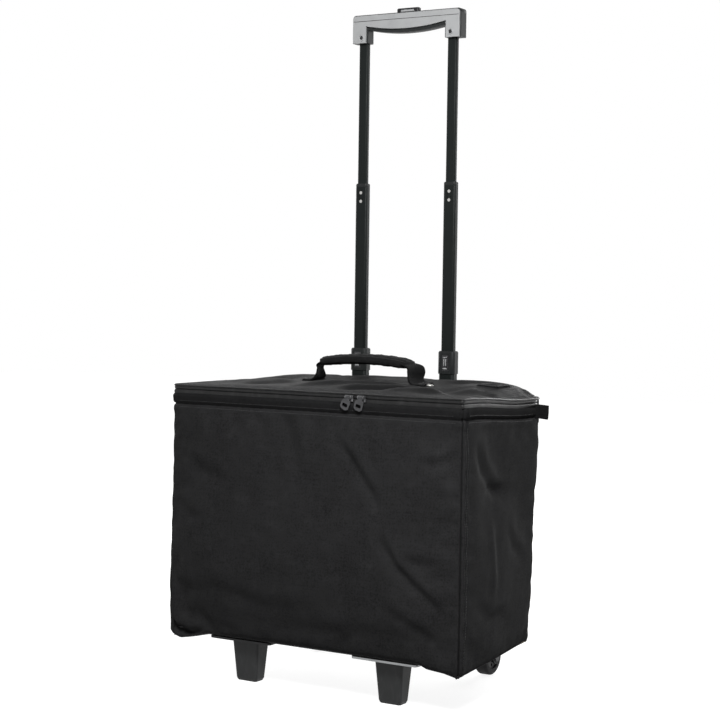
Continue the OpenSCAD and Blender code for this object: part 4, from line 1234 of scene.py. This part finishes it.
def make_handle():
    """Carry handle: webbing that rises from its sewn feet into a padded sleeve."""
    strap_low, strap_high = span("handle_strap")
    grip_low, grip_high = span("handle_grip")
    y_mid = (strap_low[1] + strap_high[1]) / 2
    wide = strap_high[1] - strap_low[1]
    lid_z = strap_low[2]
    end_x = grip_high[0]
    grip_z = (grip_low[2] + grip_high[2]) / 2
    rise = 5.1
    up = (0, 0, 1.0)

    # webbing from each sewn foot up into the sleeve, twisted a little where it is free;
    # each entry is a place across and over the lid, the share of the twist, and the width
    web = Parts()
    foot = strap_high[0]
    line = np.array([
        (foot, 1.6, 0, 1), (foot - 8, 1.5, 0, 1), (foot - 13, 2.0, 0.02, 1),
        (foot - 17.5, 5.2, 0.25, 0.98), (foot - 18.5, 10, 0.7, 0.93),
        (foot - 17.5, 15.5, 1.0, 0.9), (foot - 18.5, 20.5, 0.9, 0.92),
        (foot - 22.5, 23.6, 0.6, 0.95), (end_x - 3, grip_z - lid_z - 3.4, 0.25, 0.98),
        (end_x - 14, grip_z - lid_z - 2.4, 0, 1)])
    base = np.arange(len(line))
    fine = np.linspace(0, len(line) - 1, 46)
    sides = 22
    flat = oval(1.0, 1.0, sides, 0.3)
    cup = 1.6 * np.sin(np.linspace(0, math.pi, len(fine)))
    for side, lean, pinch in ((-1, 0.30, 0.80), (1, -0.28, 0.94)):
        path = between(fine, base, np.column_stack([
            side * line[:, 0], np.full(len(line), y_mid), lid_z + line[:, 1]]))
        for _ in range(6):
            path[1:-1] = (path[:-2] + 2 * path[1:-1] + path[2:]) / 4
        twist = lean * np.interp(fine, base, line[:, 2])
        narrow = 1 - (1 - np.interp(fine, base, line[:, 3])) * (1 - pinch) * 10
        ahead = unit(np.gradient(path, axis=0))
        width_way = square_to(np.stack([-np.sin(twist), np.cos(twist), 0 * twist], 1), ahead)
        hollow = (cup * (2.2 - narrow))[:, None] * (flat[:, 1] ** 2 - 0.4)
        profile = np.stack([flat[:, 0] * 1.45 + hollow,
                            flat[:, 1] * wide / 2 * narrow[:, None]], -1)
        web.add(*sweep(path, np.cross(width_way, ahead), profile))
        # the fold of webbing under the foot
        path = [(side * (foot + 1 - t), y_mid, lid_z + 0.4) for t in np.linspace(0, 16, 6)]
        web.add(*sweep(path, up, oval(1.0, wide / 2 + 0.4, 18, 0.3)))
    points, faces = web.all()
    settle = 1 - smooth(points[:, 2], lid_z + 3, lid_z + 12)
    points[:, 2] += (lid_height(points[:, 0], points[:, 1]) - lid_z) * settle
    piece("carry_webbing", (points, faces), "webbing", "lid", ["handle_strap"])

    # padded sleeve, arched, with ribs sewn along it
    count, sides = 49, 56
    t = np.linspace(-1, 1, count)
    path = np.column_stack([t * end_x, np.full(count, y_mid),
                            grip_z - 3.6 + rise * (1 - t ** 2)])
    wide = (grip_high[1] - grip_low[1]) / 2
    high, across = oval(1, 1, sides, 0.62).T
    rib = (0.95 * np.cos(across * 4 * math.pi) * np.clip(abs(high) * 1.4, 0, 1)
           + 0.5 * np.cos(high * 3 * math.pi) * np.clip(abs(across) * 4 - 3, 0, 1))
    end = (1 - 0.16 * abs(t) ** 10 - 0.05 * abs(t) ** 3)[:, None]
    k = np.arange(count)[:, None]
    puff = 1 + 0.05 * np.sin(k * 0.9) + 0.03 * np.sin(k * 2.3 + 1)
    profile = np.stack([high * (6.6 * puff * end) + rib * np.sign(high) * abs(high),
                        across * (wide * end) + 0.4 * rib * np.sign(across)], -1)
    sleeve = piece("carry_sleeve", sweep(path, up, profile), "grip_sleeve", "lid",
                   ["handle_grip"])


make_handle()


def make_rivets():
    """Domed oval rivets with a pressed washer, pulled down into the slack cloth of the lid."""
    low, high = span("handle_rivets")
    y_mid = (low[1] + high[1]) / 2
    parts = Parts()
    count = 24
    c, s = circle(count)
    rings = [(5.6, -1.0), (5.6, 0.5), (5.3, 0.9), (4.6, 1.0), (4.2, 0.8), (3.9, 1.5), (3.0, 2.2),
             (1.6, 2.6), (0.5, 2.7)]
    for side in (-1, 1):
        x_mid = side * (high[0] - 5)
        base = float(lid_height(np.array(x_mid), np.array(y_mid)))
        points = [np.column_stack([x_mid + 1.15 * r * c, y_mid + 0.9 * r * s,
                                   np.full(count, base + z)]) for r, z in rings]
        parts.add(np.concatenate(points), ring_faces(len(rings), count))
    piece("carry_rivets", parts.all(), "bright_steel", "lid", ["handle_rivets"])


make_rivets()


# ------------------------------------------------------------- grip details

def soft_box(middle, size, radius):
    """A small block with rounded edges, as rings from its back face to its front face."""
    sides, power = 16, 0.28
    half = np.array(size) / 2
    rings = []
    for depth, shrink in ((-1, radius), (-1 + radius / half[1], 0), (1 - radius / half[1], 0),
                          (1, radius)):
        flat = oval(half[0] - shrink, half[2] - shrink, sides, power)
        rings.append(np.column_stack([flat[:, 0], np.full(sides, depth * half[1]), flat[:, 1]]))
    return np.concatenate(rings) + middle, ring_faces(4, sides)


def make_grip_details():
    """The parting line as a dark line of painted shade, the rims round the screws and the inlay of
    the button.
    """
    shell_low, shell_high = span("grip_front_shell")
    button_low, button_high = span("push_button")
    face = shell_low[1]
    # the dark rod along the front shell is painted shade for the parting line's groove
    line = [(x, face + 0.05, shell_high[2] - 8.4) for x in
            np.linspace(shell_low[0] + 1.2, shell_high[0] - 1.2, 30)]
    piece("grip_parting_line", sweep(line, (0, -1.0, 0), oval(0.22, 0.45, 8)), seam_shadow,
          "upper_stage")
    rings = Parts()
    screw_low, screw_high = span("grip_screws")
    c, s = circle(28)
    around = np.stack([c, 0 * c, s], 1)
    for x in (screw_low[0] + 2.6, screw_high[0] - 2.6):
        middle = np.array((x, face - 0.05, (screw_low[2] + screw_high[2]) / 2))
        for radius, thick in ((4.6, 0.5), (3.3, 0.35)):
            rings.add(*sweep(middle + radius * around, around, oval(thick, thick, 8), closed=True))
    piece("grip_screw_rims", rings.all(), "silver_plastic", "upper_stage")
    middle = (button_low + button_high) / 2
    size = button_high - button_low
    inlay = soft_box((middle[0], button_low[1] + 0.5, button_high[2] - 4.2),
                     (size[0] * 0.62, 1.4, 3.6), 0.5)
    piece("button_inlay", inlay, "silver_plastic", "release")


make_grip_details()


def make_lock_relief():
    """Moulded catches on the lock plates of the outer tubes: a frame and two bars."""
    low, high = span("lock_plates")
    parts = Parts()
    height = high[2] - low[2]
    for side in (-1, 1):
        centre = side * (abs(low[0]) - 5.5)
        for x, z, w, h in ((0, 0.36, 6.5, 1.4), (-1.6, 0.05, 1.6, height * 0.44),
                           (1.6, 0.05, 1.6, height * 0.44), (0, -0.34, 6.5, 2.2)):
            middle = (centre + x, low[1] - 0.15, (low[2] + high[2]) / 2 + z * height)
            parts.add(*soft_box(middle, (w, 1.0, h), 0.3))
    piece("lock_plate_relief", parts.all(), "silver_plastic", "case")


make_lock_relief()


# ------------------------------------------------------------- zip pulls

def make_pull(side, tilt):
    """The pull hangs askew on its pin, as far as its loose eye lets it."""
    node = "zip_pull_" + side
    source = nodes[node].data
    points = np.array([v.co for v in source.vertices]) / MM
    pin = np.array([(points[:, 0].min() + points[:, 0].max()) / 2, 0, points[:, 2].max() - 2.2])
    x, y, z = (points - pin).T
    c, s = math.cos(tilt), math.sin(tilt)
    reach = smooth(-z, 1.5, 5)[:, None]
    turned = np.column_stack([x * c + z * s, y, z * c - x * s])
    points = pin + (points - pin) * (1 - reach) + turned * reach
    faces = [tuple(f.vertices) for f in source.polygons]
    made = piece("zip_pull_plate_" + side, (points, faces), "grey_metal", "pull_" + side,
                 [node], flat=True)
    soften_edges(made, 0.35)


def soften_edges(made, width):
    """Small rounded edges, which every moulded or cast piece has."""
    weld = made.modifiers.new("weld", "WELD")
    weld.merge_threshold = 1e-5
    bevel = made.modifiers.new("edge", "BEVEL")
    bevel.width = width * MM
    bevel.segments = 2
    bevel.limit_method = "ANGLE"
    bevel.angle_limit = math.radians(40)
    bevel.harden_normals = True


make_pull("left", math.radians(24))
make_pull("right", math.radians(16))


# ------------------------------------------------------------------- stage

def seen_directly(tree):
    """1 for the rays of the camera and of reflections, 0 for light on its way elsewhere."""
    rays = tree.nodes.new("ShaderNodeLightPath").outputs
    seen = rays["Is Camera Ray"]
    for ray in ("Is Glossy Ray", "Is Transmission Ray"):
        either = tree.nodes.new("ShaderNodeMath")
        either.operation = "MAXIMUM"
        tree.links.new(seen, either.inputs[0])
        tree.links.new(rays[ray], either.inputs[1])
        seen = either.outputs[0]
    return seen


def make_world():
    """A white room that is seen in full and lights the case only a little."""
    world = bpy.context.scene.world = bpy.data.worlds.new("studio")
    world.use_nodes = True
    tree = world.node_tree
    background = tree.nodes["Background"]
    background.inputs["Color"].default_value = (1, 1, 1, 1)
    strength = tree.nodes.new("ShaderNodeMapRange")
    strength.inputs["To Min"].default_value = 0.12
    strength.inputs["To Max"].default_value = 1.0
    tree.links.new(seen_directly(tree), strength.inputs["Value"])
    tree.links.new(strength.outputs["Result"], background.inputs["Strength"])


def make_floor():
    """A sheet of paper that fades into the white room."""
    look = Look("floor_paper", Base_Color=(0.35, 0.35, 0.35, 1), Roughness=0.95,
                Emission_Color=(1, 1, 1, 1))
    away = look.add("ShaderNodeVectorMath", look.place, operation="LENGTH").outputs["Value"]
    plain = look.add("ShaderNodeMapRange", away, 0.8, 2.6, 0.86, 1.0).outputs[0]
    look.join(look.times(seen_directly(look.tree), plain),
              look.shader.inputs["Emission Strength"])
    size = 6000
    corners = [(-size, -size, 0), (size, -size, 0), (size, size, 0), (-size, size, 0)]
    piece("floor", (corners, [(0, 1, 2, 3)]), look.material, None,
                   flat=True)


def make_lamps():
    """Soft area lamps, all aimed at the middle of the case."""
    aim = np.array([0, 0, 0.35])
    for name, place, width, power in (
            ("key", (0.72, -1.06, 1.42), 0.5, 34), ("fill", (-1.3, -2.3, 0.6), 1.2, 2),
            ("top", (-1.5, 1.2, 1.8), 1.2, 10), ("rear", (0.1, 2.4, 0.8), 1.4, 44),
            ("side", (-2.2, 0.5, 0.7), 1.2, 34)):
        data = bpy.data.lights.new(name, "AREA")
        data.size = width
        data.energy = power
        lamp = placed(name, data)
        lamp.location = place
        x, y, z = aim - np.array(place)
        lamp.rotation_euler = (math.atan2(np.hypot(x, y), -z), 0, math.atan2(x, -y) + math.pi)


bpy.context.scene.view_settings.view_transform = "Standard"
make_world()
make_floor()
make_lamps()


# -------------------------------------------------------- looks of CAD nodes

# the right foot plate's bright metal is a painted highlight
own_looks = {
    "grip_screws": dark_screw, "wheel_axles": dark_screw, "foot_plate_right": right_flange_painted_highlight,
    "push_button": looks["gloss_black"], "grip_rear_shell": looks["gloss_black"],
    "zip_slider_left": slider_zinc, "zip_slider_right": slider_zinc}

for name, node in nodes.items():
    for slot in node.material_slots:
        if slot.material:
            given = looks.get(slot.material.name.split(".")[0], slot.material)
            slot.material = own_looks.get(name, given)
    if name != "button_spring":
        soften_edges(node, 0.3)
